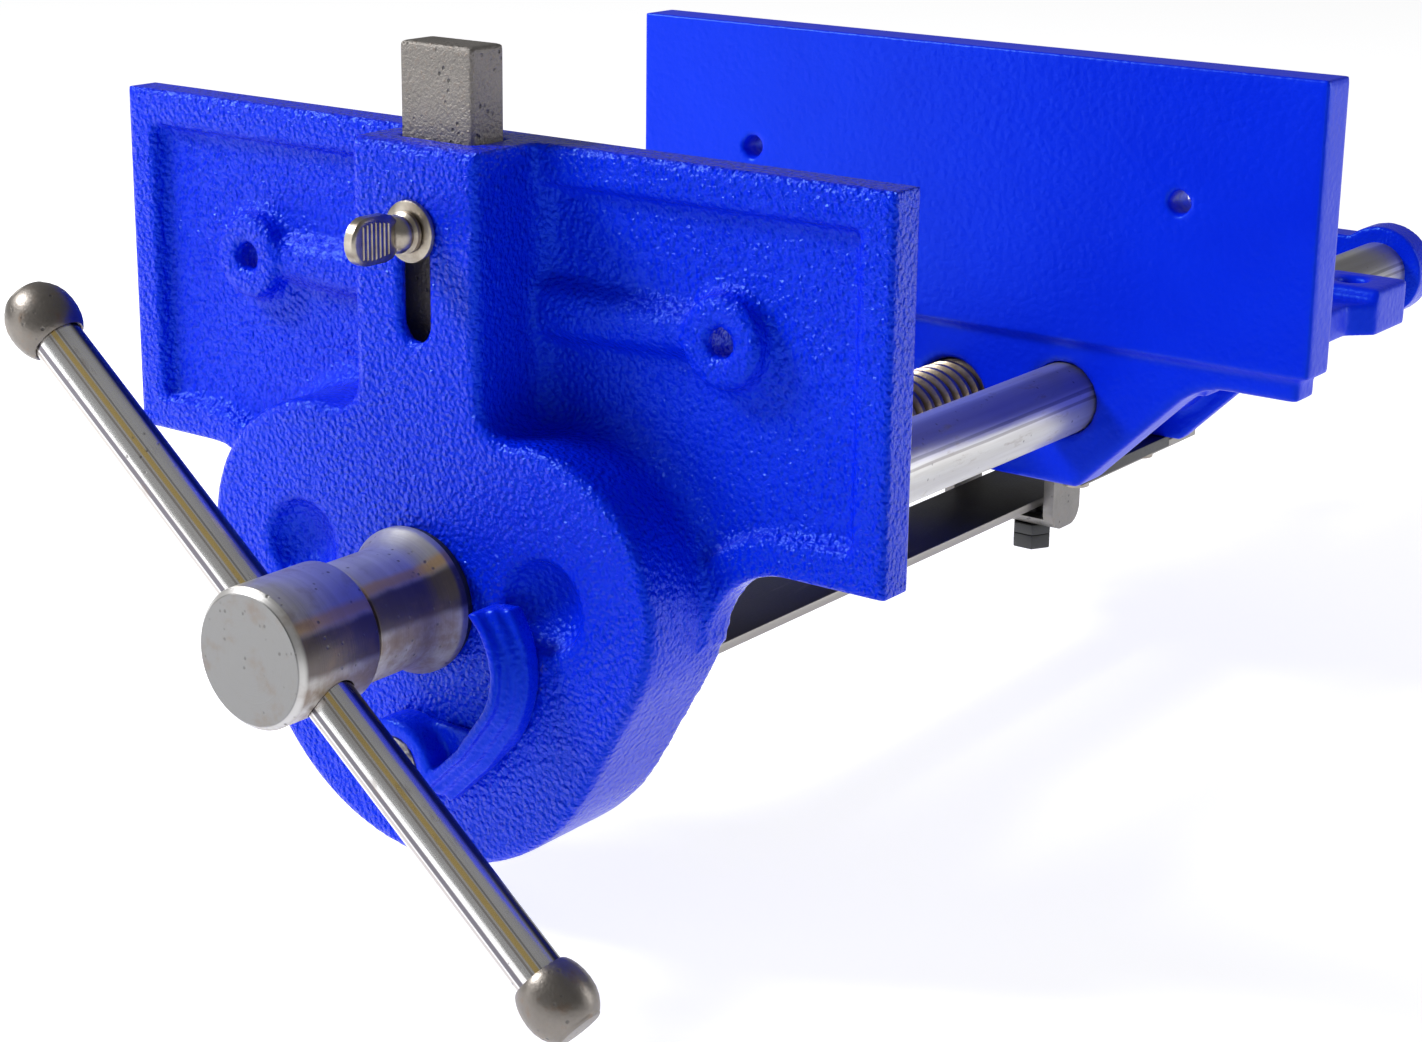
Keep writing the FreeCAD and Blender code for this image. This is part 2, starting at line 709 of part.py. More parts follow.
lay_along_bar(bar_hole, -v.head_radius * 2)
retainer_middle = retainer_end - v.retainer_long / 2
retainer_pin_hole = rod("retainer_pin_hole", "X", v.lock_pin, v.retainer_radius * 2,
                        (-v.retainer_radius, retainer_middle, screw_up))
end_collar_start = yoke_end + v.end_collar_play
end_middle = end_collar_start + v.end_collar_long / 2
end_pin_hole = rod("end_pin_hole", "X", v.lock_pin, v.end_collar_radius * 2,
                   (-v.end_collar_radius, end_middle, screw_up))
node("screw", drilled("screw_drilled", screw_body, bar_hole, retainer_pin_hole, end_pin_hole), True)

node("thrust_washer", tube("thrust_washer_turned", boss_front - v.washer_thick, boss_front,
                           journal + 0.3, v.collar_radius - 1.0, 0.0, screw_up), True)
retainer = tube("retaining_collar_turned", retainer_end - v.retainer_long, retainer_end,
                journal + v.running_gap, v.retainer_radius, 0.0, screw_up)
collar_hole = rod("collar_pin_hole", "X", v.lock_pin, v.retainer_radius * 2,
                  (-v.retainer_radius, retainer_middle, screw_up))
node("retaining_collar", drilled("retaining_collar_drilled", retainer, collar_hole), True)
node("retaining_pin", rod("retaining_pin_turned", "X", v.lock_pin - v.running_gap, v.retainer_radius * 2 - 1,
                          (0.5 - v.retainer_radius, retainer_middle, screw_up)), True)
end_collar = tube("end_collar_turned", end_collar_start, end_collar_start + v.end_collar_long,
                  v.tail_radius + v.running_gap, v.end_collar_radius, 0.0, screw_up)
end_hole = rod("end_collar_pin_hole", "X", v.lock_pin, v.end_collar_radius * 2,
               (-v.end_collar_radius, end_middle, screw_up))
node("end_collar", drilled("end_collar_drilled", end_collar, end_hole), True)
node("end_pin", rod("end_pin_turned", "X", v.lock_pin - v.running_gap, v.end_collar_radius * 2 - 1,
                    (0.5 - v.end_collar_radius, end_middle, screw_up)), True)


# ---------------------------------------------------------------- tommy bar and its balls
tommy = doc.addObject("Part::Cylinder", "tommy_bar_turned")
bind(tommy, "Radius", v.bar_radius)
bind(tommy, "Height", (v.bar_reach + 1.0) * 2)
node("tommy_bar", lay_along_bar(tommy, -(v.bar_reach + 1.0)), True)
for side, word in ((-1, "upper"), (1, "lower")):
    ball = doc.addObject("Part::Sphere", "ball_round_" + word)
    bind(ball, "Radius", v.ball_radius)
    lay_along_bar(ball, side * v.bar_reach)
    trim = doc.addObject("Part::Cylinder", "ball_trim_" + word)
    bind(trim, "Radius", v.ball_radius * 2)
    bind(trim, "Height", v.ball_radius)
    lay_along_bar(trim, v.bar_reach + v.ball_flat if side > 0 else -(v.bar_reach + v.ball_flat + v.ball_radius))
    socket = doc.addObject("Part::Cylinder", "ball_socket_" + word)
    bind(socket, "Radius", v.bar_radius + v.running_gap)
    bind(socket, "Height", v.ball_radius + 1.0 + v.running_gap)
    lay_along_bar(socket, v.bar_reach - v.ball_radius if side > 0 else -(v.bar_reach + 1.0 + v.running_gap))
    node("tommy_ball_" + word, drilled("tommy_ball_turned_" + word, ball, trim, socket), True)


# ---------------------------------------------------------------- dog, its washer and thumb screw
dog_front = rim_front - v.dog_gap / 2 - v.dog_gap - v.dog_thick
dog_back = dog_front + v.dog_thick
dog_screw_up = -v.dog_screw_drop
dog_block = block("dog_block", (-v.dog_width / 2, dog_front, v.dog_rise - v.dog_long),
                  (v.dog_width / 2, dog_back, v.dog_rise))
thumb_inside = dog_front + v.dog_thick - 3.0
dog_tap = rod("dog_tapped_hole", "Y", v.thumb_shank + v.running_gap, thumb_inside - boss_front,
              (0.0, boss_front, dog_screw_up))
node("dog", drilled("dog_drilled", dog_block, dog_tap), True)
washer_front = boss_front - v.gap - v.dog_washer_thick
node("dog_washer", tube("dog_washer_turned", washer_front, boss_front - v.gap, v.thumb_shank + 0.3,
                        v.dog_washer, 0.0, dog_screw_up), True)


def thumb_screw():
    """A shank with a round neck, and a flat spade to grip, rounded at its outer end."""
    neck_front = washer_front - v.gap
    shank = turned("thumb_screw_shank", [
        (neck_front - 6.0, 0.0), (neck_front - 6.0, v.thumb_neck - 1.0), (neck_front - 4.6, v.thumb_neck),
        (neck_front, v.thumb_neck), (neck_front, v.thumb_shank), (thumb_inside - 1.0, v.thumb_shank),
        (thumb_inside - 0.5, v.thumb_shank - 1.0), (thumb_inside - 0.5, 0.0)], 0.0, dog_screw_up)
    spade = new_body("thumb_screw_spade")
    tall = v.thumb_tall / 2
    tip = neck_front - v.thumb_long
    pad(spade, "YZ", -v.thumb_thick / 2, v.thumb_thick / 2, outlines=[[
        (neck_front - 2.0, dog_screw_up - v.thumb_shank), (neck_front - 2.0, dog_screw_up + v.thumb_shank),
        (neck_front - 7.0, dog_screw_up + tall), (tip + 5.0, dog_screw_up + tall, -6.6),
        (tip, dog_screw_up + 1.2), (tip, dog_screw_up - 1.2, -6.6), (tip + 5.0, dog_screw_up - tall),
        (neck_front - 7.0, dog_screw_up - tall)]])
    return joined("thumb_screw_joined", shank, spade)


node("thumb_screw", thumb_screw(), True)


# ---------------------------------------------------------------- release trigger and strip
trigger_back = boss_front - v.gap
trigger_front = trigger_back - v.trigger_thick
shaft_front = trigger_front - 1.0


def trigger_lever():
    """A hub on the trigger shaft and a finger arm that curves up beside the screw's collar."""
    body = new_body("trigger_casting")
    pad(body, "XZ", trigger_front, trigger_back, circles=[(0.0, trigger_up, v.trigger_hub)])
    # the arm's corners, across and above the hub's middle, with the radius of a curved stretch
    arm = [(0.0, 8.0), (9.0, 5.0), (24.0, 16.5, -19.5), (32.6, 36.0, -19.5), (25.2, 48.0),
           (29.5, 53.0, 27.0), (44.0, 32.0, 27.0), (35.0, 12.0), (12.0, -5.0)]
    outline = [(corner[0], trigger_up + corner[1]) + corner[2:] for corner in arm]
    pad(body, "XZ", trigger_front, trigger_back, outlines=[outline])
    bore = v.trigger_shaft + v.running_gap
    pocket(body, "XZ", trigger_front, trigger_back, circles=[(0.0, trigger_up, bore)])
    pin_hole = rod("trigger_pin_hole", "X", v.trigger_pin + v.running_gap, v.trigger_hub * 4,
                   (v.trigger_hub * -2, (trigger_front + trigger_back) / 2, trigger_up))
    return drilled("trigger_drilled", body, pin_hole)


node("trigger_lever", trigger_lever(), True)
strip_top = trigger_up + v.strip_thick / 2
strip_low = trigger_up - v.strip_thick / 2
shaft_end = v.strip_start - 1.0
shaft_body = turned("trigger_shaft_turned", [
    (shaft_front, 0.0), (shaft_front, v.trigger_shaft - 1), (shaft_front + 1, v.trigger_shaft),
    (shaft_end, v.trigger_shaft), (shaft_end, 0.0)], 0.0, trigger_up)
shaft_slot = block("shaft_slot", (-v.trigger_shaft - 1, 1.0, strip_low - 0.05),
                   (v.trigger_shaft + 1, shaft_end + 1, strip_top + 0.05))
shaft_pin_hole = rod("shaft_pin_hole", "X", v.trigger_pin + v.running_gap, v.trigger_hub * 4,
                     (v.trigger_hub * -2, (trigger_front + trigger_back) / 2, trigger_up))
rivet_along = (shaft_end + 1.0) / 2
shaft_rivet_hole = rod("shaft_rivet_hole", "Z", v.strip_rivet + v.running_gap, v.trigger_shaft * 4,
                       (0.0, rivet_along, trigger_up - v.trigger_shaft * 2))
trigger_shaft = drilled("trigger_shaft_drilled", shaft_body, shaft_slot, shaft_pin_hole, shaft_rivet_hole)
node("trigger_shaft", trigger_shaft, True)
node("trigger_pin", rod("trigger_pin_turned", "X", v.trigger_pin, v.trigger_hub * 2 - 1,
                        (0.5 - v.trigger_hub, (trigger_front + trigger_back) / 2, trigger_up)), True)

stop_along = v.max_opening + v.nut_middle + v.stirrup_long / 2 + v.stop_pin + v.gap
foot_low = -foot_top - v.stirrup_thick
stop_low = foot_low
strip_bar = block("strip_bar", (-v.strip_width / 2, v.strip_start, strip_low),
                  (v.strip_width / 2, v.strip_end, strip_top))
strip_tongue = block("strip_tongue", (-v.tongue_width / 2, 1.5, strip_low),
                     (v.tongue_width / 2, v.strip_start + 1, strip_top))
strip_rivet_hole = rod("strip_rivet_hole", "Z", v.strip_rivet + v.running_gap, v.strip_thick * 3,
                       (0.0, rivet_along, strip_low - v.strip_thick))
strip_stop_hole = rod("strip_stop_hole", "Z", v.stop_pin + v.running_gap, v.strip_thick * 3,
                      (0.0, stop_along, strip_low - v.strip_thick))
node("release_bar", drilled("release_bar_drilled", joined("release_bar_blank", strip_bar, strip_tongue),
                            strip_rivet_hole, strip_stop_hole), True)
node("release_rivet", rod("release_rivet_turned", "Z", v.strip_rivet, v.trigger_shaft * 2 - 1.0,
                          (0.0, rivet_along, trigger_up - v.trigger_shaft + 0.5)), True)
node("stop_pin", rod("stop_pin_turned", "Z", v.stop_pin, strip_top - stop_low,
                     (0.0, stop_along, stop_low)), True)


# ---------------------------------------------------------------- half nut, stirrup and springs
nut_front = v.nut_middle - v.nut_long / 2
nut_back = v.nut_middle + v.nut_long / 2
nut_bore = v.screw_radius + v.thread_gap
spring_spots = [(side * v.spring_across, spot) for side in (-1, 1)
                for spot in (nut_front + v.spring_inset, nut_back - v.spring_inset)]
nut_blank = block("half_nut_blank", (-nut_half, nut_front, -nut_low), (nut_half, nut_back, screw_up - 1.0))
nut_tools = [rod("half_nut_bore", "Y", nut_bore, v.nut_long * 2, (0.0, nut_front - 10, screw_up))]
spring_top = v.nut_under_thread + 0.7 - nut_low
for number, (across, spot) in enumerate(spring_spots, start=1):
    well = rod(f"spring_well_{number}", "Z", v.spring_radius + 0.6, spring_top + nut_low + 1,
               (across, spot, -nut_low - 1))
    nut_tools.append(well)
arm_screw_up = screw_up - 6.0
arm_screw_spots = [v.nut_middle - 5.0, v.nut_middle + 5.0]
for number, spot in enumerate(arm_screw_spots, start=1):
    nut_tools.append(rod(f"arm_screw_tap_{number}", "X", v.arm_screw + v.running_gap, nut_half * 3,
                         (nut_half * -1.5, spot, arm_screw_up)))
node("half_nut", drilled("half_nut_drilled", nut_blank, *nut_tools), False)

arm_front = v.nut_middle - v.stirrup_long / 2
arm_back = v.nut_middle + v.stirrup_long / 2
arm_in = nut_half
arm_out = arm_in + v.stirrup_thick
stirrup_parts = [
    block("stirrup_foot", (-arm_out, arm_front, foot_low), (arm_out, arm_back, -foot_top)),
    block("stirrup_arm_left", (-arm_out, arm_front, foot_low), (-arm_in, arm_back, screw_up - 2.0)),
    block("stirrup_arm_right", (arm_in, arm_front, foot_low), (arm_out, arm_back, screw_up - 2.0))]
stirrup_tools = [rod("adjuster_tap", "Z", v.adjuster_radius + v.running_gap, v.stirrup_thick * 3,
                     (v.adjuster_across, v.nut_middle, foot_low - v.stirrup_thick))]
for number, spot in enumerate(arm_screw_spots, start=1):
    stirrup_tools.append(rod(f"stirrup_hole_{number}", "X", v.arm_screw + v.running_gap, nut_half * 3,
                             (nut_half * -1.5, spot, arm_screw_up)))
stirrup_blank = joined("nut_stirrup_bent", *stirrup_parts)
node("nut_stirrup", drilled("nut_stirrup_drilled", stirrup_blank, *stirrup_tools), False)
arm_screws = []
for side, word in ((-1, "left"), (1, "right")):
    for number, spot in enumerate(arm_screw_spots, start=1):
        start = arm_in - v.arm_screw_bite if side > 0 else -arm_out
        shank = rod(f"arm_screw_{word}_{number}", "X", v.arm_screw, v.stirrup_thick + v.arm_screw_bite,
                    (start, spot, arm_screw_up))
        head_at = arm_out if side > 0 else -arm_out - 1.6
        head = rod(f"arm_screw_head_{word}_{number}", "X", v.arm_screw_head, 1.6, (head_at, spot, arm_screw_up))
        arm_screws.append(joined(f"arm_screw_whole_{word}_{number}", shank, head))
node("stirrup_screws", joined("stirrup_screw_set", *arm_screws), False)

adjuster_top = strip_low - v.gap
locknut_low = foot_low - 4.0
locknut_blank = hexagon("adjuster_locknut_blank", v.adjuster_head, locknut_low, foot_low,
                        v.adjuster_across, v.nut_middle)
locknut_tap = rod("locknut_tap", "Z", v.adjuster_radius + v.running_gap, 8.0,
                  (v.adjuster_across, v.nut_middle, locknut_low - 2))
node("adjuster_locknut", drilled("adjuster_locknut_drilled", locknut_blank, locknut_tap), False)
head_low = locknut_low - 5.4
tip = doc.addObject("Part::Cone", "adjuster_tip")
bind(tip, "Radius1", v.adjuster_radius)
bind(tip, "Radius2", v.adjuster_radius * 0.4)
bind(tip, "Height", 1.6)
put(tip, (v.adjuster_across, v.nut_middle, adjuster_top - 1.6))
shank = rod("adjuster_shank", "Z", v.adjuster_radius, adjuster_top - 1.6 - head_low,
            (v.adjuster_across, v.nut_middle, head_low))
head = hexagon("adjuster_head", v.adjuster_head, head_low, locknut_low, v.adjuster_across, v.nut_middle)
node("adjuster_bolt", joined("adjuster_joined", head, shank, tip), False)

# retaining plate under the body, with a window for the stirrup, and its four screws
plate_top = -body_low
plate_low = plate_top - v.plate_thick
plate_half = v.body_flat - 6.0
plate_screw_spots = [(side * (plate_half - 7.0), spot) for side in (-1, 1)
                     for spot in (v.cavity_front + 3.0, v.body_deep - 12.0)]
window = block("plate_window", (-(arm_out + 2.0), arm_front - 1.5, plate_low - 1),
               (arm_out + 2.0, arm_back + 1.5, plate_top + 1))
plate_tools = [window]
for number, (across, spot) in enumerate(plate_screw_spots, start=1):
    plate_tools.append(rod(f"plate_hole_{number}", "Z", v.plate_screw + 0.1, v.plate_thick * 3,
                           (across, spot, plate_low - 2)))
plate = block("nut_plate_blank", (-plate_half, v.cavity_front - 6.0, plate_low),
              (plate_half, v.body_deep - 3.0, plate_top))
node("nut_plate", drilled("nut_plate_drilled", plate, *plate_tools), False)
plate_screws = []
for number, (across, spot) in enumerate(plate_screw_spots, start=1):
    shank = rod(f"plate_screw_shank_{number}", "Z", v.plate_screw, v.plate_thick, (across, spot, plate_low))
    head = rod(f"plate_screw_head_{number}", "Z", v.plate_screw_head, 3.0, (across, spot, plate_low - 3.0))
    key = hexagon(f"plate_screw_key_{number}", dim(2.0), plate_low - 3.5, plate_low - 1.4, across, spot)
    solid = joined(f"plate_screw_solid_{number}", shank, head)
    plate_screws.append(drilled(f"plate_screw_{number}", solid, key))
node("plate_screws", joined("plate_screw_set", *plate_screws), False)


def coil(across, spot):
    """A close coil spring as a wire of round section swept along a helix."""
    wire = float(sheet.get("spring_wire"))
    reach = float(sheet.get("spring_radius")) - wire
    turns = float(sheet.get("spring_turns"))
    play = 0.1
    long = (spring_top - plate_top).value - 2 * (wire + play)
    path = Part.makeHelix(long / turns, long, reach)
    section = Part.Wire(Part.makeCircle(wire, FreeCAD.Vector(reach, 0, 0), FreeCAD.Vector(0, 1, 0)))
    solid = Part.Wire(path.Edges).makePipeShell([section], True, True)
    solid.translate(FreeCAD.Vector(across.value, spot.value, plate_top.value + wire + play))
    return solid


springs = doc.addObject("Part::Feature", "nut_springs_wire")
springs.Shape = Part.makeCompound([coil(across, spot) for across, spot in spring_spots])
node("nut_springs", springs, False)


# ---------------------------------------------------------------- check everything and write it
doc.recompute()
for thing in doc.Objects:
    if "Invalid" in thing.State or "Error" in thing.State:
        raise RuntimeError(f"{thing.Name} failed: {thing.State}")
for name, thing in NODES.items():
    if thing.Shape.isNull() or not thing.Shape.isValid() or not thing.Shape.Solids:
        raise RuntimeError(f"{name} has no valid solid")
for name, thing in NODES.items():
    thing.Shape.exportStep(f"parts/{name}.step")
print(len(NODES), "nodes written")
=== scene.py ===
import bmesh
import bpy
import json
import math
from mathutils import Matrix, Vector


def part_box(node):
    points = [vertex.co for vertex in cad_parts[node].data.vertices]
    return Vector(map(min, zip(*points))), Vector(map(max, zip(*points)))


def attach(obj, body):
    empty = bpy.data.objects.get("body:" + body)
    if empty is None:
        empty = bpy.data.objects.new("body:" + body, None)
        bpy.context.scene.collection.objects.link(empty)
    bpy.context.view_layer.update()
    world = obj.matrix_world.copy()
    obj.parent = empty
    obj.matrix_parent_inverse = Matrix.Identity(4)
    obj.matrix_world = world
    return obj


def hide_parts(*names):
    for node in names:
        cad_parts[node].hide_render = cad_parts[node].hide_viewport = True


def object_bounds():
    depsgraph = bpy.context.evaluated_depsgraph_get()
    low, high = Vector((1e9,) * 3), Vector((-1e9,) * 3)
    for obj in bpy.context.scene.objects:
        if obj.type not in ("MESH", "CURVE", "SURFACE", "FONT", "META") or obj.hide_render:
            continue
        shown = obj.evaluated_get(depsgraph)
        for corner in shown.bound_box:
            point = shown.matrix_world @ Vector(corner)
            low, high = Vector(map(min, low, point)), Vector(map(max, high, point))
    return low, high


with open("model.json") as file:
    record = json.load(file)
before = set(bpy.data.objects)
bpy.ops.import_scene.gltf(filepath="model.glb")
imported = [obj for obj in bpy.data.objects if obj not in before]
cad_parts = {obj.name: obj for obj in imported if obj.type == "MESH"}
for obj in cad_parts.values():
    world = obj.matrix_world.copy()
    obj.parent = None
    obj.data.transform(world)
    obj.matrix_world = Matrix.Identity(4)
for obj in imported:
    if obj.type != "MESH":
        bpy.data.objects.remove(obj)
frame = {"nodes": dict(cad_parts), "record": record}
cadLow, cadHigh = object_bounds()

# Shapes are drawn in millimetres from the jaw tops and from each jaw's own working face
mm = 0.001
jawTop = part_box("front_jaw")[1].z
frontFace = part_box("front_jaw")[1].y
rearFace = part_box("rear_jaw")[0].y


def fromFace(value, face):
    return (value - face) / mm


def nodeSize(node, face):
    low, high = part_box(node)
    origin = Vector((0, face, jawTop))
    return (low - origin) / mm, (high - origin) / mm


# Driving places read back from the frame
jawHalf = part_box("front_jaw")[1].x / mm
bossFront = fromFace(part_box("front_jaw")[0].y, frontFace)
bossLow = (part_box("front_jaw")[0].z - jawTop) / mm
rodLow, rodHigh = nodeSize("guide_rod_right", frontFace)
rodAcross = (rodLow.x + rodHigh.x) / 2
rodUp = (rodLow.z + rodHigh.z) / 2
rodRadius = (rodHigh.x - rodLow.x) / 2
screwLow, screwHigh = nodeSize("screw", frontFace)
collarRadius = (screwHigh.x - screwLow.x) / 2
screwUp = (screwHigh.z + screwLow.z) / 2
triggerLow, triggerHigh = nodeSize("trigger_shaft", frontFace)
triggerUp = (triggerHigh.z + triggerLow.z) / 2

screwSizes = dict(headLong=28.6, head=19.0, neck=16.8, journal=15.0, collarGap=2.3, barHole=7.15,
                  threadStart=-1.0, pitch=6.0, crest=13.0, root=10.2, tail=9.0, yokeGap=8.0)
past = 5  # how far a cutter runs past the face that it cuts
rooted = 3  # how deep a raised shape starts inside the one that it joins


def arc(x, z, radius, start, end, steps):
    angles = [math.radians(start + (end - start) * i / steps) for i in range(steps + 1)]
    return [(x + radius * math.cos(a), z + radius * math.sin(a)) for a in angles]


def circle(x, z, radius, corners=48):
    return arc(x, z, radius, 0, 360 - 360 / corners, corners - 1)


def bothSides(half):
    # closes a right half with its mirror image
    return half + [(-x, z) for x, z in reversed(half) if abs(x) > 1e-6]


def box2d(x0, z0, x1, z1):
    return [(x0, z0), (x1, z0), (x1, z1), (x0, z1)]


axisPoint = {"X": lambda a, b, level: (level, a, b), "Y": lambda a, b, level: (a, level, b),
             "Z": lambda a, b, level: (a, b, level)}


def slab(bm, outline, start, end, axis="Y"):
    # a prism between two levels; returns the cap at the end level
    corners = [bm.verts.new(axisPoint[axis](a, b, start)) for a, b in outline]
    grown = bmesh.ops.extrude_face_region(bm, geom=[bm.faces.new(corners)])["geom"]
    moved = [g for g in grown if isinstance(g, bmesh.types.BMVert)]
    bmesh.ops.translate(bm, verts=moved, vec=axisPoint[axis](0, 0, end - start))
    return [g for g in grown if isinstance(g, bmesh.types.BMFace)][0]


def stepped(bm, cap, steps, axis="Y"):
    # draws the cap in by each step's first number and moves it along by the second
    for inset, move in steps:
        bmesh.ops.inset_region(bm, faces=[cap], thickness=inset, use_even_offset=True)
        bmesh.ops.translate(bm, verts=list(cap.verts), vec=axisPoint[axis](0, 0, move))
    return cap


def coveSteps(radius, move, count=5):
    # a hollow curve, flat at first and steep at the end
    spots = [math.radians(90 * i / count) for i in range(count + 1)]
    return [(radius * (math.sin(b) - math.sin(a)), move * radius * (math.cos(a) - math.cos(b)))
            for a, b in zip(spots, spots[1:])]


def roundSteps(radius, move, count=4):
    # a round edge, steep at first and flat at the end
    spots = [math.radians(90 * i / count) for i in range(count + 1)]
    return [(radius * (math.cos(a) - math.cos(b)), move * radius * (math.sin(b) - math.sin(a)))
            for a, b in zip(spots, spots[1:])]


def turned(bm, profile, across=0.0, up=0.0, steps=64, closed=False):
    # profile corners are (along Y, radius), turned about a line along Y
    ring = [bm.verts.new((across + radius, y, up)) for y, radius in profile]
    edges = [bm.edges.new(pair) for pair in zip(ring, ring[1:] + ring[:1] if closed else ring[1:])]
    bmesh.ops.spin(bm, geom=ring + edges, cent=(across, 0, up), axis=(0, 1, 0), angle=math.tau,
                   steps=steps, use_merge=True)


def rounded(bm, width, segments=2, sharper=32):
    edges = [e for e in bm.edges if len(e.link_faces) == 2 and e.calc_face_angle(0) > math.radians(sharper)]
    bmesh.ops.bevel(bm, geom=edges, offset=width, offset_type="OFFSET", affect="EDGES", segments=segments,
                    profile=0.5, material=-1, clamp_overlap=True)


def cleaned(bm, near=0.004):
    bmesh.ops.remove_doubles(bm, verts=bm.verts, dist=near)
    bmesh.ops.dissolve_degenerate(bm, edges=bm.edges, dist=near / 2)
    bmesh.ops.recalc_face_normals(bm, faces=bm.faces)
    return bm


def asObject(name, bm):
    mesh = bpy.data.meshes.new(name)
    cleaned(bm).to_mesh(mesh)
    bm.free()
    thing = bpy.data.objects.new(name, mesh)
    bpy.context.scene.collection.objects.link(thing)
    return thing


def applied(thing):
    shown = thing.evaluated_get(bpy.context.evaluated_depsgraph_get())
    mesh = bpy.data.meshes.new_from_object(shown)
    thing.modifiers.clear()
    thing.data = mesh
    return thing


def combined(base, other, operation):
    modifier = base.modifiers.new(operation.lower(), "BOOLEAN")
    modifier.operation = operation
    modifier.solver = "EXACT"
    modifier.object = other
    applied(base)
    bpy.data.objects.remove(other)
    return base


def solidOf(shape, *values, **options):
    bm = bmesh.new()
    shape(bm, *values, **options)
    return asObject("cutter", bm)


def castSkin(thing, voxel, passes):
    # a sand-cast skin: one closed surface with every edge and corner softened
    modifier = thing.modifiers.new("skin", "REMESH")
    modifier.mode = "VOXEL"
    modifier.voxel_size = voxel
    applied(thing)
    bm = bmesh.new()
    bm.from_mesh(thing.data)
    for _ in range(passes):
        bmesh.ops.smooth_vert(bm, verts=bm.verts, factor=0.5, use_axis_x=True, use_axis_y=True,
                              use_axis_z=True)
    bm.to_mesh(thing.data)
    bm.free()
    return thing


def placed(thing, name, face, body, material, slotName, stands=(), smooth=35):
    # carries a finished shape from drawing millimetres to the frame and fastens it to its body
    thing.name = name
    thing.data.name = name
    thing.data.transform(Matrix.Translation((0, face, jawTop)) @ Matrix.Scale(mm, 4))
    thing.data.polygons.foreach_set("use_smooth", [True] * len(thing.data.polygons))
    thing.data.set_sharp_from_angle(angle=math.radians(smooth))
    thing.data.materials.clear()
    thing.data.materials.append(material)
    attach(thing, body)
    if stands:
        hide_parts(*stands)
    return thing


def piece(name, bm, *where, **options):
    return placed(asObject(name, bm), name, *where, **options)


class Channel:
    def __init__(self, finish, socket):
        self.finish = finish
        self.socket = socket

    def maths(self, operation, *values, clamp=False):
        return self.finish.node("ShaderNodeMath", {"operation": operation, "use_clamp": clamp},
                                dict(enumerate(values)))

    def __add__(self, other):
        return self.maths("ADD", self, other)

    def __sub__(self, other):
        return self.maths("SUBTRACT", self, other)

    def __mul__(self, other):
        return self.maths("MULTIPLY", self, other)

    def __pow__(self, other):
        return self.maths("POWER", self, other)

    def __rsub__(self, other):
        return self.maths("SUBTRACT", other, self)

    __radd__ = __add__
    __rmul__ = __mul__

    def size(self):
        return self.maths("ABSOLUTE", self)

    def degrees(self, across):
        # the angle round the pattern's middle, from the across line
        return self.maths("ARCTAN2", self, across) * (180 / math.pi)

    def held(self):
        # kept from 0 to 1
        return self.maths("ADD", self, 0.0, clamp=True)

    def between(self, low, high):
        # 0 below low, 1 above high, and smooth from one to the other
        return self.finish.node("ShaderNodeMapRange", {"interpolation_type": "SMOOTHSTEP"},
                                {"Value": self, "From Min": low, "From Max": high})

    def band(self, centre, half, solid):
        # 1 round the centre, fading out over the last part of the half width
        return 1 - (self - centre).size().between(half * solid, half)


socketNames = dict(colour="Base Color", roughness="Roughness", metal="Metallic", normal="Normal")


class Finish:
    def __init__(self, name, **constants):
        self.material = bpy.data.materials.new(name)
        self.material.use_nodes = True
        self.tree = self.material.node_tree
        self.tree.nodes.clear()
        self.shader = self.node("ShaderNodeBsdfPrincipled", {}, constants).socket.node
        output = self.tree.nodes.new("ShaderNodeOutputMaterial")
        self.tree.links.new(self.shader.outputs[0], output.inputs["Surface"])
        self.place = self.node("ShaderNodeTexCoord", {}, {}, "Object")

    def node(self, kind, settings, inputs, output=0):
        made = self.tree.nodes.new(kind)
        for name, value in settings.items():
            setattr(made, name, value)
        for name, value in inputs.items():
            socket = made.inputs[name]
            if isinstance(value, Channel):
                self.tree.links.new(value.socket, socket)
            else:
                socket.default_value = value
        return Channel(self, made.outputs[output])

    def mapped(self, stretch=(1, 1, 1), turn=(0, 0, 0), shift=(0, 0, 0)):
        return self.node("ShaderNodeMapping", {}, {"Vector": self.place, "Location": shift,
                                                   "Rotation": turn, "Scale": stretch})

    def noise(self, scale, detail=3.0, rough=0.55, vector=None):
        return self.node("ShaderNodeTexNoise", {}, {"Vector": vector or self.place, "Scale": scale,
                                                    "Detail": detail, "Roughness": rough})

    def cells(self, scale):
        return self.node("ShaderNodeTexVoronoi", {"feature": "F1"}, {"Vector": self.place, "Scale": scale})

    def pits(self, scale, small, large):
        # 1 in the middle of each cell, 0 outside a pit
        return 1 - self.cells(scale).between(small, large)

    def split(self, vector, output):
        return self.node("ShaderNodeSeparateXYZ", {}, {"Vector": vector}, output)

    def mix(self, factor, first, second):
        return self.node("ShaderNodeMix", {"data_type": "RGBA"}, {0: factor, 6: first, 7: second}, 2)

    def bump(self, height, distance):
        return self.node("ShaderNodeBump", {}, {"Height": height, "Distance": distance, "Strength": 1.0})

    def set(self, **inputs):
        for name, value in inputs.items():
            socket = self.shader.inputs[socketNames[name]]
            self.tree.links.new(value.socket, socket)
        return self.material


def grey(value, warm=0.0):
    return (value * (1 + warm), value, value * (1 - warm), 1.0)


enamel = dict(deep=(0.0001, 0.006, 0.56, 1), bright=(0.0006, 0.028, 0.90, 1), sheen=(0.14, 0.55, 1.0, 1),
              speck=1100.0, clouds=14.0, patches=60.0, fine=2.3, pimples=0.8)


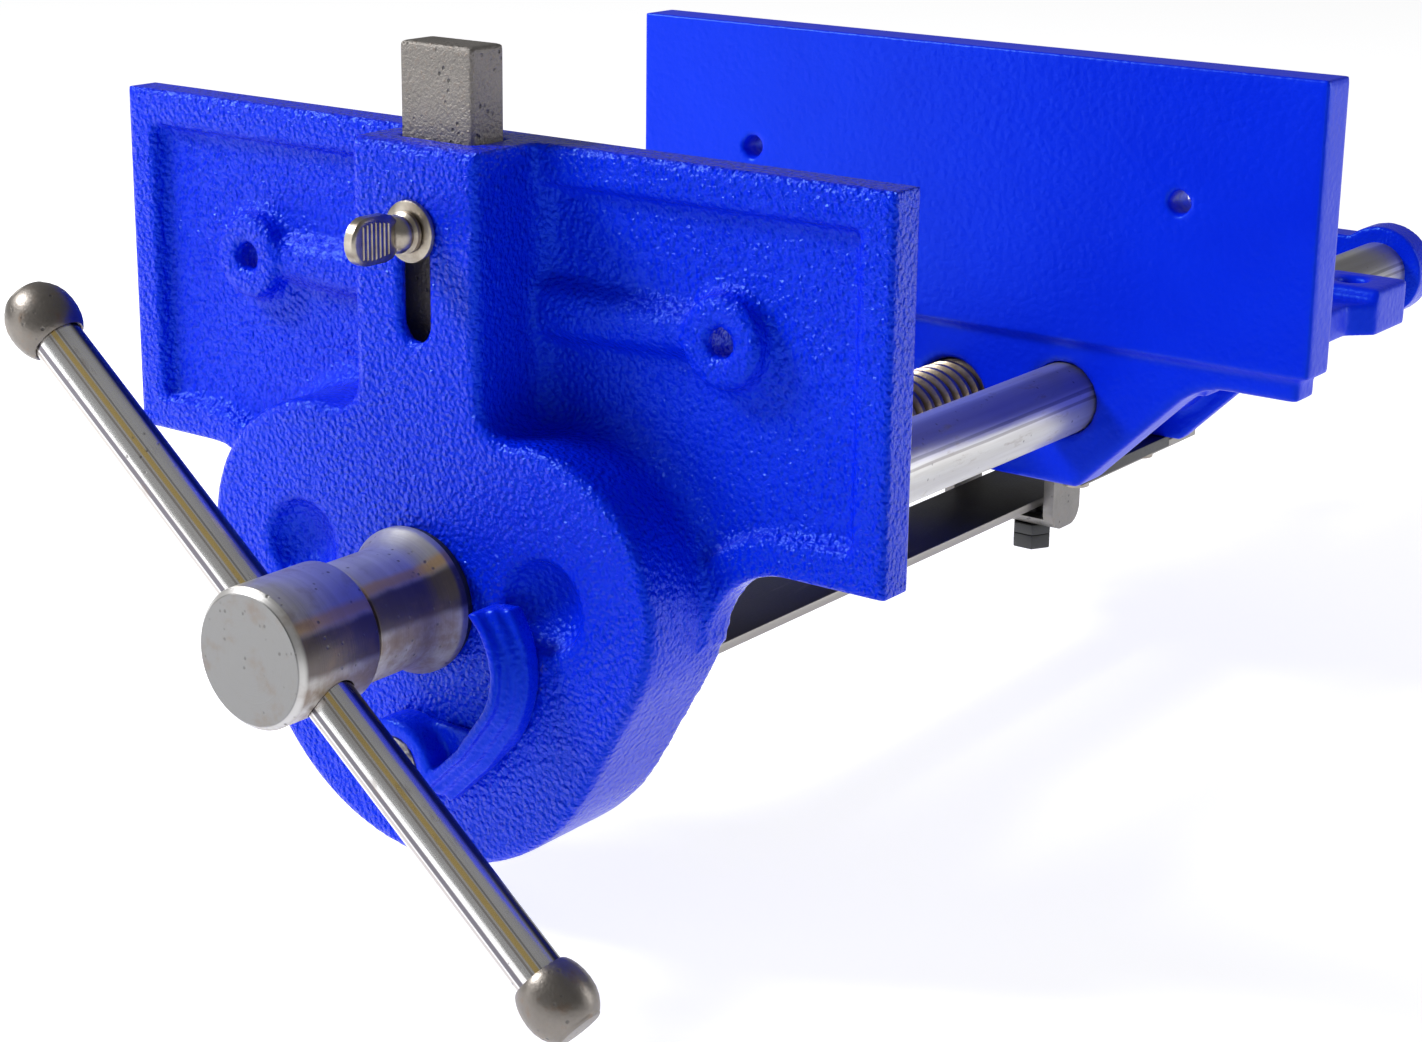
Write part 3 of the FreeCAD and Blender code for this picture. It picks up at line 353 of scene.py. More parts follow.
def blueEnamel(name, peel, peelScale, mottle, gloss):
    # baked enamel over a sand-cast skin
    finish = Finish(name, **{"IOR": 1.5, "Specular Tint": enamel["sheen"], "Specular IOR Level": 0.38})
    clouds = finish.noise(enamel["clouds"], 3.0, 0.6)
    speck = finish.noise(enamel["speck"], 2.0, 0.5)
    tint = finish.mix((clouds * mottle + 0.5 - mottle / 2 + speck * 0.2 - 0.1).held(), enamel["deep"],
                      enamel["bright"])
    lumps = finish.noise(peelScale, 1.5, 0.45)
    fine = finish.noise(peelScale * enamel["fine"], 2.0, 0.5)
    pimples = finish.cells(peelScale * enamel["pimples"]).between(0.0, 0.7)
    height = lumps + fine * 0.35 - pimples * 0.5
    patches = finish.noise(enamel["patches"])
    return finish.set(colour=tint, roughness=patches * 0.12 + fine * 0.1 + gloss,
                      normal=finish.bump(height, peel))


# colours that rust and dirt leave on bare steel, and the colours of the painted reflection bands on the screw
# head, tommy bar and guide rods
stainAndReflectionHues = dict(gold=(0.62, 0.38, 0.13, 1), straw=(0.90, 0.66, 0.22, 1), brown=(0.052, 0.030, 0.026, 1),
            rust=(0.20, 0.13, 0.085, 1), pit=(0.018, 0.015, 0.013, 1), violet=(0.055, 0.045, 0.075, 1),
            black=(0.008, 0.008, 0.014, 1))
turnedLook = dict(rings=2600.0, bands=260.0, clouds=95.0, pits=420.0, pitted=150.0, rough=0.31, metal=0.70)
# where the head's painted reflection bands sit in degrees round the screw, how dark its painted end face is,
# and the edges of its flank, end face and neck
headLook = dict(brown=(12.0, 22.0, 0.6), gold=(36.0, 9.0, 0.2), under=(-16.0, 2.0), neckTurn=12.0, face=0.42,
                faceEdge=(0.15, 0.4), flankEdge=(1.2, 2.4), neckEdge=(28.0, 30.5))


def roundScrew(finish):
    # the pattern's place, measured from the screw's axis
    return finish.mapped(shift=(0, 0, -(jawTop + screwUp * mm)))


def alongScrew(spots):
    # distances from the screw's front end, given in the frame's metres
    return [frontFace + (screwLow.y + spot) * mm for spot in spots]


def paintedReflectionBands(finish, tone, face, place, clouds):
    # painted reflections run along the head as gold and brown bands at fixed angles round it; its lower side
    # takes a darker rust-brown colour in clouds, and its end face is painted darker for the darker reflection
    # it shows
    x, y, z = place
    flank = y.between(*alongScrew(headLook["flankEdge"]))
    neck = y.between(*alongScrew(headLook["neckEdge"]))
    end = 1 - y.between(*alongScrew(headLook["faceEdge"]))
    angle = z.degrees(x) - neck * headLook["neckTurn"] + clouds * 7.0 - 3.5
    brown = angle.band(*headLook["brown"]) * flank
    gold = angle.band(*headLook["gold"]) * flank
    under = (1 - angle.between(*headLook["under"])) * flank
    faced = finish.mix(end, tone, face)
    toned = finish.mix(under * clouds.between(0.3, 0.6) * 0.7, faced, stainAndReflectionHues["rust"])
    browned = finish.mix(brown * 0.93, toned, stainAndReflectionHues["brown"])
    return finish.mix(gold * 0.8, browned, stainAndReflectionHues["gold"]), brown, under


def turnedSteel(name, colour, stain, ringDepth, paintedReflections=False):
    # turned round the screw's axis, with the tool's fine rings
    finish = Finish(name, **{"IOR": 2.4})
    spot = roundScrew(finish)
    x, y, z = (finish.split(spot, i) for i in range(3))
    out = (x * x + z * z) ** 0.5
    along = finish.node("ShaderNodeCombineXYZ", {}, {"X": out, "Y": y})
    rings = finish.noise(turnedLook["rings"], 2.0, 0.7, along)
    bands = finish.noise(turnedLook["bands"], 3.0, 0.6, along)
    clouds = finish.noise(turnedLook["clouds"], 4.0, 0.65)
    patches = finish.noise(turnedLook["pitted"], 2.0, 0.5).between(0.50, 0.60)
    pitted = (finish.pits(turnedLook["pits"], 0.10, 0.26) * patches).held()
    rust = clouds.between(0.5, 0.72) * stain
    tone = finish.mix(bands.between(0.3, 0.7), grey(colour * 0.8, 0.02), grey(colour, 0.015))
    metal = turnedLook["metal"] - pitted * 0.5
    roughness = rings * 0.10 + rust * 0.18 + turnedLook["rough"]
    # only the head gets painted reflection bands, a painted darker end face and a darker lower side
    if paintedReflections:
        face = grey(colour * headLook["face"])
        tone, brown, under = paintedReflectionBands(finish, tone, face, (x, y, z), clouds)
        metal = metal - brown * 0.1
        roughness = roughness + under * 0.12
    stained = finish.mix(rust, tone, stainAndReflectionHues["rust"])
    dark = finish.mix(pitted * 0.9, stained, stainAndReflectionHues["pit"])
    height = rings * ringDepth + bands * 0.3 - pitted * 1.2
    return finish.set(colour=dark, metal=metal, roughness=roughness, normal=finish.bump(height, 0.00007))


drawnLook = dict(stretch=(1, 0.035, 1), markStretch=(1, 0.25, 1), lines=1500.0, wide=320.0, marks=240.0,
                 pits=300.0, pitted=70.0)


def drawnBar(name, colour, direction, centre, reflectionRows, streak, rough, metal, apart=0):
    # bright drawn bar, with marks, and painted reflections: light, gold, violet and dark bands at fixed
    # angles round it that run along it; apart is for a pair of bars
    finish = Finish(name, **{"IOR": 2.4})
    turn = Vector((0, 1, 0)).rotation_difference(Vector(direction)).to_euler()
    back = Matrix(turn.to_matrix()).transposed().to_euler()
    flat = finish.mapped(turn=back, shift=centre)
    long = finish.node("ShaderNodeMapping", {}, {"Vector": flat, "Scale": drawnLook["stretch"]})
    short = finish.node("ShaderNodeMapping", {}, {"Vector": flat, "Scale": drawnLook["markStretch"]})
    lines = finish.noise(drawnLook["lines"], 3.0, 0.65, long)
    wide = finish.noise(drawnLook["wide"], 3.0, 0.6, long)
    marks = finish.noise(drawnLook["marks"], 4.0, 0.7, short).between(0.58, 0.72)
    pits = finish.pits(drawnLook["pits"], 0.08, 0.2) * finish.noise(drawnLook["pitted"]).between(0.52, 0.6)
    across, up = finish.split(flat, 0), finish.split(flat, 2)
    if apart:
        across = across.size() - apart
    angle = up.degrees(across) + wide * 6.0 - 3.0
    tone = finish.mix(wide.between(0.3, 0.7), grey(colour * 0.82, 0.02), grey(colour))
    # painted reflection bands at fixed angles round the bar
    for middle, half, hue, weight in reflectionRows:
        tone = finish.mix(angle.band(middle, half, 0.55) * weight, tone, stainAndReflectionHues[hue])
    worn = finish.mix((marks * streak).held(), tone, stainAndReflectionHues["rust"])
    dark = finish.mix(pits * 0.85, worn, stainAndReflectionHues["pit"])
    return finish.set(colour=dark, metal=metal - pits * 0.6, roughness=lines * 0.12 + marks * 0.14 + rough,
                      normal=finish.bump(lines * 0.8 + wide * 0.4 - pits, 0.00005))


forgedLook = dict(fine=1400.0, clouds=60.0, pits=420.0, pitted=150.0, dark=0.6, light=1.3)


def forgedSteel(name, colour, grain, rough, warm=0.05, lumps=260.0):
    # hammered or sand-cast steel, its warmth also the strength of its rust
    finish = Finish(name, **{"IOR": 2.2})
    coarse = finish.noise(lumps, 4.0, 0.6)
    fine = finish.noise(forgedLook["fine"], 3.0, 0.6)
    clouds = finish.noise(forgedLook["clouds"], 3.0, 0.6)
    pits = finish.pits(forgedLook["pits"], 0.1, 0.28) * finish.noise(forgedLook["pitted"]).between(0.5, 0.62)
    tone = finish.mix((clouds * 0.7 + coarse * 0.5 - 0.1).held(), grey(colour * forgedLook["dark"], warm),
                      grey(colour * forgedLook["light"], warm))
    tinted = finish.mix(coarse.between(0.52, 0.75) * (warm * 6), tone, stainAndReflectionHues["rust"])
    dark = finish.mix(pits * 0.9, tinted, stainAndReflectionHues["pit"])
    return finish.set(colour=dark, metal=0.92 - pits * 0.5, roughness=fine * 0.22 + clouds * 0.12 + rough,
                      normal=finish.bump(coarse * 0.8 + fine * 0.5 - pits, grain))


platedLook = dict(bright=(0.46, 0.42, 0.36, 1), dull=(0.27, 0.23, 0.19, 1), clouds=180.0, fine=1600.0)


def platedSteel(name):
    # nickel plate, dulled in patches
    finish = Finish(name, **{"IOR": 2.4, "Metallic": 1.0})
    clouds = finish.noise(platedLook["clouds"], 3.0, 0.6)
    fine = finish.noise(platedLook["fine"], 2.0, 0.6)
    tone = finish.mix(clouds.between(0.3, 0.75), platedLook["bright"], platedLook["dull"])
    return finish.set(colour=tone, roughness=fine * 0.14 + clouds * 0.1 + 0.2,
                      normal=finish.bump(fine + clouds, 0.00004))


threadLook = dict(oil=(0.035, 0.021, 0.010, 1), grease=(0.12, 0.075, 0.038, 1), worn=(0.46, 0.39, 0.30, 1),
                  stained=(0.26, 0.19, 0.12, 1), valleyEdge=0.6, crestEdge=0.3, clouds=120.0, grit=900.0)


def oiledThread(name):
    # dark grease in the valleys and worn crests, told apart by their distance from the axis
    finish = Finish(name, **{"IOR": 2.2})
    spot = roundScrew(finish)
    x, z = finish.split(spot, 0), finish.split(spot, 2)
    out = (x * x + z * z) ** 0.5
    crest = out.between((screwSizes["root"] + threadLook["valleyEdge"]) * mm,
                        (screwSizes["crest"] - threadLook["crestEdge"]) * mm)
    clouds = finish.noise(threadLook["clouds"], 4.0, 0.65)
    grit = finish.noise(threadLook["grit"], 3.0, 0.6)
    valley = finish.mix(clouds, threadLook["oil"], threadLook["grease"])
    top = finish.mix(clouds.between(0.3, 0.7), threadLook["worn"], threadLook["stained"])
    return finish.set(colour=finish.mix(crest, valley, top), metal=crest * 0.2 + 0.75,
                      roughness=grit * 0.2 + (1 - crest) * 0.18 + 0.22,
                      normal=finish.bump(grit + clouds, 0.00008))


darkLook = dict(clouds=45.0, fine=1300.0, scuffs=190.0, stretch=(1, 0.12, 1), scuffed=0.16, bare=0.34,
                edge=(0.5, 0.15))


def darkSteel(name, colour, edgeHalf=None):
    # blackened steel; a sheared strip also shows bare metal on its long edges
    finish = Finish(name, **{"IOR": 1.9})
    clouds = finish.noise(darkLook["clouds"], 4.0, 0.6)
    fine = finish.noise(darkLook["fine"], 3.0, 0.6)
    stretched = finish.mapped(stretch=darkLook["stretch"])
    scuffs = finish.noise(darkLook["scuffs"], 4.0, 0.7, stretched).between(0.6, 0.75)
    tone = finish.mix(clouds, grey(colour * 0.6), grey(colour * 1.7, -0.04))
    shown = finish.mix(scuffs * 0.5, tone, grey(darkLook["scuffed"], 0.02))
    metal = scuffs * 0.3 + 0.5
    if edgeHalf:
        inner, outer = (edgeHalf - width for width in darkLook["edge"])
        edge = finish.split(finish.place, 0).size().between(inner * mm, outer * mm)
        shown = finish.mix(edge, shown, grey(darkLook["bare"], 0.05))
        metal = metal + edge * 0.4
    return finish.set(colour=shown, metal=metal.held(), roughness=fine * 0.18 + clouds * 0.15 + 0.30,
                      normal=finish.bump(fine * 0.6 + clouds * 0.5, 0.00008))


bronzeLook = dict(dark=(0.36, 0.21, 0.085, 1), light=(0.55, 0.36, 0.17, 1), clouds=110.0, fine=1500.0)


def bronze(name):
    finish = Finish(name, **{"IOR": 2.0})
    clouds = finish.noise(bronzeLook["clouds"], 4.0, 0.6)
    fine = finish.noise(bronzeLook["fine"], 3.0, 0.6)
    tone = finish.mix(clouds, bronzeLook["dark"], bronzeLook["light"])
    return finish.set(colour=tone, metal=fine * 0.05 + 0.93, roughness=fine * 0.2 + clouds * 0.1 + 0.26,
                      normal=finish.bump(fine + clouds * 0.6, 0.00006))


# the tommy bar hangs at this slope; a painted reflection band is its middle and half width in degrees round
# the bar, colour and strength
barAngle = 39.0
barWay = Vector((math.cos(math.radians(barAngle)), 0, -math.sin(math.radians(barAngle))))
barReflectionBands = [(-58.0, 8.0, "rust", 0.5), (-40.0, 9.0, "violet", 0.88), (-3.0, 3.0, "rust", 0.5),
            (9.0, 7.5, "straw", 0.95), (19.0, 2.5, "brown", 0.5), (78.0, 32.0, "black", 0.94)]
# painted reflections on the guide rods: a violet band over their upper side, and thin dark and brown lines
rodReflectionBands = [(56.0, 33.0, "violet", 0.5), (26.0, 3.5, "black", 0.5), (13.0, 3.0, "brown", 0.5)]
barLow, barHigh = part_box("tommy_bar")
barTurn = Vector((0, 1, 0)).rotation_difference(barWay).to_matrix().transposed()
barShift = tuple(-(barTurn @ ((barLow + barHigh) / 2)))
rodShift = (0, 0, -(jawTop + rodUp * mm))
stripHalf = nodeSize("release_bar", frontFace)[1].x
finishes = dict(
    castBlue=blueEnamel("cast_blue_enamel", peel=0.00072, peelScale=700.0, mottle=0.5, gloss=0.09),
    smoothBlue=blueEnamel("smooth_blue_enamel", peel=0.00016, peelScale=420.0, mottle=0.6, gloss=0.26),
    smallBlue=blueEnamel("small_casting_enamel", peel=0.00022, peelScale=700.0, mottle=0.5, gloss=0.18),
    headSteel=turnedSteel("turned_head_steel", 0.52, stain=0.45, ringDepth=0.8, paintedReflections=True),
    collarSteel=turnedSteel("turned_collar_steel", 0.42, stain=0.3, ringDepth=0.6),
    rodSteel=drawnBar("guide_rod_steel", 0.62, (0, 1, 0), rodShift, rodReflectionBands, streak=0.35, rough=0.27,
                      metal=0.72, apart=rodAcross * mm),
    barSteel=drawnBar("tommy_bar_steel", 0.90, barWay, barShift, barReflectionBands, streak=0.4, rough=0.13,
                      metal=0.85),
    ballSteel=forgedSteel("forged_ball_steel", 0.20, grain=0.00010, rough=0.22, warm=0.10),
    dogSteel=forgedSteel("dog_cast_steel", 0.22, grain=0.00060, rough=0.34, warm=0.07, lumps=900.0),
    nickel=platedSteel("nickel_plate"),
    thread=oiledThread("oiled_thread"),
    black=darkSteel("black_steel", 0.022),
    strip=darkSteel("sheared_strip_steel", 0.006, stripHalf),
    stirrup=forgedSteel("stirrup_steel", 0.24, grain=0.00010, rough=0.30, warm=0.04),
    bronze=bronze("bush_bronze"),
    spring=forgedSteel("spring_steel", 0.34, grain=0.00004, rough=0.2, warm=0.0),
)
print("finishes made")


jaw = dict(rimFront=-11.2, recess=4.0, rim=10.0, rimSlope=1.4, height=102.7, archRadius=25.0, archStart=104.0,
           cheekAcross=83.75, cheekUp=-44.0, cheekHole=4.0, cheekBoss=12.5, cheekFront=-13.7, cheekEdge=1.2,
           ribInner=(20, 9.5), ribOuter=(84, 6.6),
           ribSteps=[(0.9, -1.8), (1.7, -2.0), (1.4, -1.1), (1.1, -0.5)], slotHalf=4.85, slotTravel=25.3,
           dogGap=0.3, dogWall=4.0, pocketHalf=12, pocketOver=9, pocketDeep=3.4, collarHole=15.4,
           washerHole=23.0, washerDeep=12.5, triggerHole=8.3,
           core=[(22, -143), (62, -143), (34, -179), (22, -183)], coreDeep=24, skin=1.15)
boss = dict(pillarHalf=22.0, lobeAcross=37.0, lobe=42.0, flank=29.2, fillet=9.0, cove=7.0, edge=2.4,
            flare=3.0, dimple=(12.6, 7.0, 12.6), dimpleOut=0.3)


def plateOutline(inset):
    edge, top, low = jawHalf - inset, -inset, inset - jaw["height"]
    reach = jaw["archRadius"] + inset
    # the arch is a quarter circle about a point below the plate
    quarter = arc(jaw["archStart"], -(jaw["height"] + jaw["archRadius"]), reach, 90, 180, 12)
    return bothSides([(edge, top), (edge, low)] + quarter)


def bossOutline(grow):
    # a pillar that runs into two lobes round the rods, with a round foot that both flanks meet
    lobe = boss["lobe"] + grow
    half = boss["pillarHalf"] + grow
    fillet = boss["fillet"] - grow
    slope = math.radians(boss["flank"])
    lean = Vector((math.cos(slope), -math.sin(slope)))
    low = -bossLow + grow
    tangent = lean.x * boss["lobeAcross"] + lean.y * rodUp + lobe
    bottom = (tangent + lean.y * low) / (1 + lean.y)
    filletX = half + fillet
    filletUp = rodUp + math.sqrt((lobe + fillet) ** 2 - (filletX - boss["lobeAcross"]) ** 2)
    meet = math.degrees(math.atan2(filletUp - rodUp, filletX - boss["lobeAcross"]))
    pillar = [(half, 0.0)]
    corner = arc(filletX, filletUp, fillet, 180, 180 + meet, 6)
    side = arc(boss["lobeAcross"], rodUp, lobe, meet, -boss["flank"], 22)[1:]
    foot = arc(0, bottom - low, bottom, -boss["flank"], -90, 14)
    return bothSides(pillar + corner + side + foot)


def jawPlate(floor):
    # the plate with its sunk panel, and the flared boss that stands on it
    front, edge = bossFront, boss["edge"]
    thing = solidOf(slab, plateOutline(0), 0, jaw["rimFront"])
    bm = bmesh.new()
    cap = slab(bm, plateOutline(jaw["rim"]), jaw["rimFront"] - 20, jaw["rimFront"])
    stepped(bm, cap, [(jaw["rimSlope"], jaw["recess"])])
    combined(thing, asObject("recess", bm), "DIFFERENCE")
    bm = bmesh.new()
    cap = slab(bm, bossOutline(boss["cove"]), floor + rooted, floor)
    stepped(bm, cap, coveSteps(boss["cove"], -1))
    within = solidOf(slab, plateOutline(boss["flare"]), 0, front)
    combined(thing, combined(asObject("flare", bm), within, "INTERSECT"), "UNION")
    bm = bmesh.new()
    stepped(bm, slab(bm, bossOutline(0), 0, front + edge), roundSteps(edge, -1))
    return combined(thing, asObject("boss", bm), "UNION")


def ribAndCheek(thing, side, floor):
    # a low rib that runs out to the round boss of a cheek hole
    (start, tall), (end, short) = jaw["ribInner"], jaw["ribOuter"]
    up = jaw["cheekUp"]
    rib = [(side * start, up - tall), (side * end, up - short), (side * end, up + short),
           (side * start, up + tall)]
    bm = bmesh.new()
    stepped(bm, slab(bm, rib, floor + rooted, floor), jaw["ribSteps"])
    combined(thing, asObject("rib", bm), "UNION")
    edge = jaw["cheekEdge"]
    rise = jaw["cheekFront"] + edge - floor + rooted
    bm = bmesh.new()
    cap = slab(bm, circle(side * jaw["cheekAcross"], up, jaw["cheekBoss"] + rooted), floor + rooted, floor)
    stepped(bm, cap, coveSteps(rooted, -1, 4) + [(0.4, rise)] + roundSteps(edge, -1, 3))
    combined(thing, asObject("cheek", bm), "UNION")


def dogOpenings(thing):
    # the thumb screw's slot, the pocket behind it and the dog's square hole
    low, high = nodeSize("dog_washer", frontFace)
    washerUp = (low.z + high.z) / 2
    half, bottom = jaw["slotHalf"], washerUp - jaw["slotTravel"]
    slot = arc(0, washerUp, half, 0, 180, 12) + arc(0, bottom, half, 180, 360, 12)
    low, high = nodeSize("dog", frontFace)
    gap, inside = jaw["dogGap"], low.y + jaw["dogWall"]
    combined(thing, solidOf(slab, slot, bossFront - past, inside), "DIFFERENCE")
    over, wide = jaw["pocketOver"], jaw["pocketHalf"]
    pocket = box2d(-wide, bottom - over, wide, washerUp + over)
    combined(thing, solidOf(slab, pocket, bossFront + jaw["pocketDeep"], inside), "DIFFERENCE")
    dogHole = box2d(low.x - gap, low.y - gap, high.x + gap, high.y + gap)
    combined(thing, solidOf(slab, dogHole, -100, past, axis="Z"), "DIFFERENCE")


def frontCasting():
    front, floor = bossFront, jaw["rimFront"] + jaw["recess"]
    thing = jawPlate(floor)
    for side in (-1, 1):
        ribAndCheek(thing, side, floor)
    dogOpenings(thing)
    for x, z, radius, start in (
            (jaw["cheekAcross"], jaw["cheekUp"], jaw["cheekHole"], front),
            (-jaw["cheekAcross"], jaw["cheekUp"], jaw["cheekHole"], front),
            (0, screwUp, jaw["collarHole"], front - past),
            (0, screwUp, jaw["washerHole"], -jaw["washerDeep"]),
            (0, triggerUp, jaw["triggerHole"], front - past)):
        combined(thing, solidOf(slab, circle(x, z, radius), start, past), "DIFFERENCE")
    for side in (-1, 1):
        core = [(side * x, z) for x, z in jaw["core"]]
        combined(thing, solidOf(slab, core, -jaw["coreDeep"], past), "DIFFERENCE")
        bm = bmesh.new()
        bmesh.ops.create_uvsphere(bm, u_segments=40, v_segments=20, radius=1)
        bmesh.ops.scale(bm, verts=bm.verts, vec=boss["dimple"])
        bmesh.ops.translate(bm, verts=bm.verts, vec=(side * rodAcross, front + boss["dimpleOut"], rodUp))
        combined(thing, asObject("dimple", bm), "DIFFERENCE")
    castSkin(thing, jaw["skin"], 2)
    placed(thing, "front_jaw_casting", frontFace, "front_jaw", finishes["castBlue"], "blue_enamel",
           stands=["front_jaw"], smooth=80)


frontCasting()
print("front jaw cast")


rear = dict(plate=16.0, height=96.2, setBack=3.0, apron=129.0, apronLow=104.7, arch=25.0, flat=51.0,
            low=147.2, half=92.0, deep=88.0, flangeTop=-99.0, flange=12.0, rodBoss=19.5, rodBossBack=122.0,
            cavity=26.0, cavityFront=25.0, cavityWall=8.0, padInner=70.0, padOuter=100.0, padFront=136.0,
            padBack=163.0, padTall=5.0, padHalf=15.0, padStep=8.0, boltAcross=84.0, boltFront=45.0,
            boltBack=149.5, boltHole=5.5, pocketInner=34.0, pocketOuter=85.0, pocketWall=(5.0, 7.0),
            cheekAcross=84.6, cheekUp=-44.0, cheekHole=4.0, rodGap=0.3, screwHole=13.6, skin=1.4)


def rearBody(r):
    # the face plate, the apron under it, the deep body and the forked flange that bolts to the bench
    thing = solidOf(slab, box2d(-jawHalf, -r["height"], jawHalf, 0), 0, r["plate"])
    corner = r["flat"] + r["low"] - r["apronLow"]
    turn = r["arch"] * math.tan(math.radians(22.5))
    sweep = arc(corner + turn, -(r["apronLow"] + r["arch"]), r["arch"], 90, 135, 8)
    edge = [(r["apron"], past - r["height"]), (r["apron"], -r["apronLow"])]
    apron = bothSides(edge + sweep + [(r["flat"], -r["low"])])
    combined(thing, solidOf(slab, apron, r["setBack"], r["plate"]), "UNION")
    sideLow = r["half"] - r["flat"] - r["low"]
    body = bothSides([(r["half"], r["flangeTop"]), (r["half"], sideLow), (r["flat"], -r["low"])])
    combined(thing, solidOf(slab, body, r["plate"] - 1, r["deep"]), "UNION")
    fork = bothSides([(r["half"], r["plate"] - 1), (r["half"], r["padFront"] - r["padStep"]),
                      (r["padOuter"], r["padFront"]), (r["padOuter"], r["padBack"]),
                      (r["padInner"], r["padBack"]), (r["padInner"], r["rodBossBack"])])
    flange = solidOf(slab, fork, r["flangeTop"] - r["flange"], r["flangeTop"], axis="Z")
    return combined(thing, flange, "UNION")


def rearSide(thing, side, r):
    # one side's hollow under the body, its two bolt pads and its rod boss
    wall, backWall = r["pocketWall"]
    top = r["flangeTop"]
    under = box2d(side * r["pocketInner"], r["plate"] + wall, side * r["pocketOuter"], r["deep"] - backWall)
    combined(thing, solidOf(slab, under, -160, top - r["flange"] - 2, axis="Z"), "DIFFERENCE")
    for outer, start, end in ((r["padOuter"], r["padFront"], r["padBack"]),
                              (r["half"], r["boltFront"] - r["padHalf"], r["boltFront"] + r["padHalf"])):
        pad = box2d(side * r["padInner"], start, side * outer, end)
        combined(thing, solidOf(slab, pad, top - 1, top + r["padTall"], axis="Z"), "UNION")
    ring = circle(side * rodAcross, rodUp, r["rodBoss"], 60)
    combined(thing, solidOf(slab, ring, r["plate"] - 1, r["rodBossBack"]), "UNION")


def rearCasting():
    r = rear
    thing = rearBody(r)
    for side in (-1, 1):
        rearSide(thing, side, r)
    well = box2d(-r["cavity"], -r["low"] - past, r["cavity"], screwUp)
    combined(thing, solidOf(slab, well, r["cavityFront"], r["deep"] - r["cavityWall"]), "DIFFERENCE")
    bores = [(side * rodAcross, rodUp, rodRadius + r["rodGap"], r["rodBossBack"]) for side in (-1, 1)]
    bores += [(side * r["cheekAcross"], r["cheekUp"], r["cheekHole"], r["plate"]) for side in (-1, 1)]
    bores += [(0, screwUp, r["screwHole"], r["rodBossBack"])]
    for x, z, radius, end in bores:
        combined(thing, solidOf(slab, circle(x, z, radius), -past, end + past), "DIFFERENCE")
    for side in (-1, 1):
        for spot in (r["boltFront"], r["boltBack"]):
            hole = circle(side * r["boltAcross"], spot, r["boltHole"], 36)
            bore = solidOf(slab, hole, r["flangeTop"] - 60, r["flangeTop"] + 10, axis="Z")
            combined(thing, bore, "DIFFERENCE")
    castSkin(thing, r["skin"], 2)
    placed(thing, "rear_jaw_casting", rearFace, "base", finishes["smoothBlue"], "blue_enamel",
           stands=["rear_jaw"], smooth=80)


rearCasting()
print("rear jaw cast")


def screwHead():
    # a drilled head, a waisted neck and a collar, turned in one piece
    front = screwLow.y
    back = front + screwSizes["headLong"]
    collar = bossFront - screwSizes["collarGap"]
    head, neck, journal = screwSizes["head"], screwSizes["neck"], screwSizes["journal"]
    start = screwSizes["threadStart"]
    bm = bmesh.new()
    profile = [(front, 0), (front, head - 1.75), (front + 0.25, head - 1.45), (front + 1.6, head - 0.2),
               (front + 2.0, head), (back - 1.2, head), (back - 0.5, head - 0.3), (back, head - 1.0),
               (back, 15.5), (back + 0.5, 15.2), (back + 1.8, 15.3), (back + 2.4, neck - 0.2),
               (back + 3.0, neck), (collar - 11.4, neck), (collar - 9.6, neck + 0.25),
               (collar - 7.2, neck + 1.0), (collar - 4.8, neck + 2.2), (collar - 3.2, collarRadius - 0.5),
               (collar - 2.6, collarRadius - 0.1), (collar - 2.0, collarRadius), (collar - 0.5, collarRadius),
               (collar, collarRadius - 0.5), (collar, journal), (start, journal), (start, 0)]
    turned(bm, profile, up=screwUp, steps=128)
    thing = asObject("head", bm)
    middle = fromFace((barLow.y + barHigh.y) / 2, frontFace)
    turn = Vector((0, 0, 1)).rotation_difference(barWay).to_matrix().to_4x4()
    bm = bmesh.new()
    bmesh.ops.create_cone(bm, cap_ends=True, segments=48, radius1=screwSizes["barHole"],
                          radius2=screwSizes["barHole"], depth=60,
                          matrix=Matrix.Translation((0, middle, screwUp)) @ turn)
    combined(thing, asObject("bar_hole", bm), "DIFFERENCE")
    placed(thing, "screw_head", frontFace, "screw", finishes["headSteel"], "turned_steel", smooth=28)


def screwThread():
    start, back = screwSizes["threadStart"], screwHigh.y
    end = fromFace(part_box("yoke")[0].y, frontFace) - screwSizes["yokeGap"]
    root, crest, pitch, tail = (screwSizes[size] for size in ("root", "crest", "pitch", "tail"))
    bm = bmesh.new()
    turned(bm, [(start, 0), (start, root), (end + 2, root), (end + 3, tail), (back - 1, tail),
                (back, tail - 1), (back, 0)], up=screwUp, steps=48)
    # one tooth, wound round the core by a spin that also moves along
    tooth = [(0.9, root - 0.5), (1.25, root), (1.95, crest - 0.25), (2.15, crest), (3.85, crest),
             (4.05, crest - 0.25), (4.75, root), (5.1, root - 0.5)]
    section = bm.faces.new([bm.verts.new((radius, start - 2 + y, screwUp)) for y, radius in tooth])
    turns = int((end - start) / pitch)
    steps = turns * 36
    bmesh.ops.spin(bm, geom=[section], cent=(0, 0, screwUp), axis=(0, 1, 0), steps=steps,
                   dvec=(0, pitch * turns / steps, 0), angle=math.tau * turns)
    piece("screw_thread", bm, frontFace, "screw", finishes["thread"], "turned_steel", stands=["screw"],
          smooth=30)


screwHead()
screwThread()
print("screw turned")


# the ball's profile has a short neck lip and a flattened end
tommy = dict(radius=6.8, reach=114.0,
             ball=[(107.7, 0), (107.7, 6.85), (107.1, 7.1), (107.0, 7.5), (107.5, 8.0), (108.7, 8.7),
                   (110.4, 9.3), (112.6, 9.7), (115.0, 9.8), (117.4, 9.55), (119.6, 8.8), (121.3, 7.8),
                   (122.4, 6.9), (122.7, 6.55), (123.0, 6.45), (123.35, 6.0), (123.4, 5.5), (123.4, 0)])


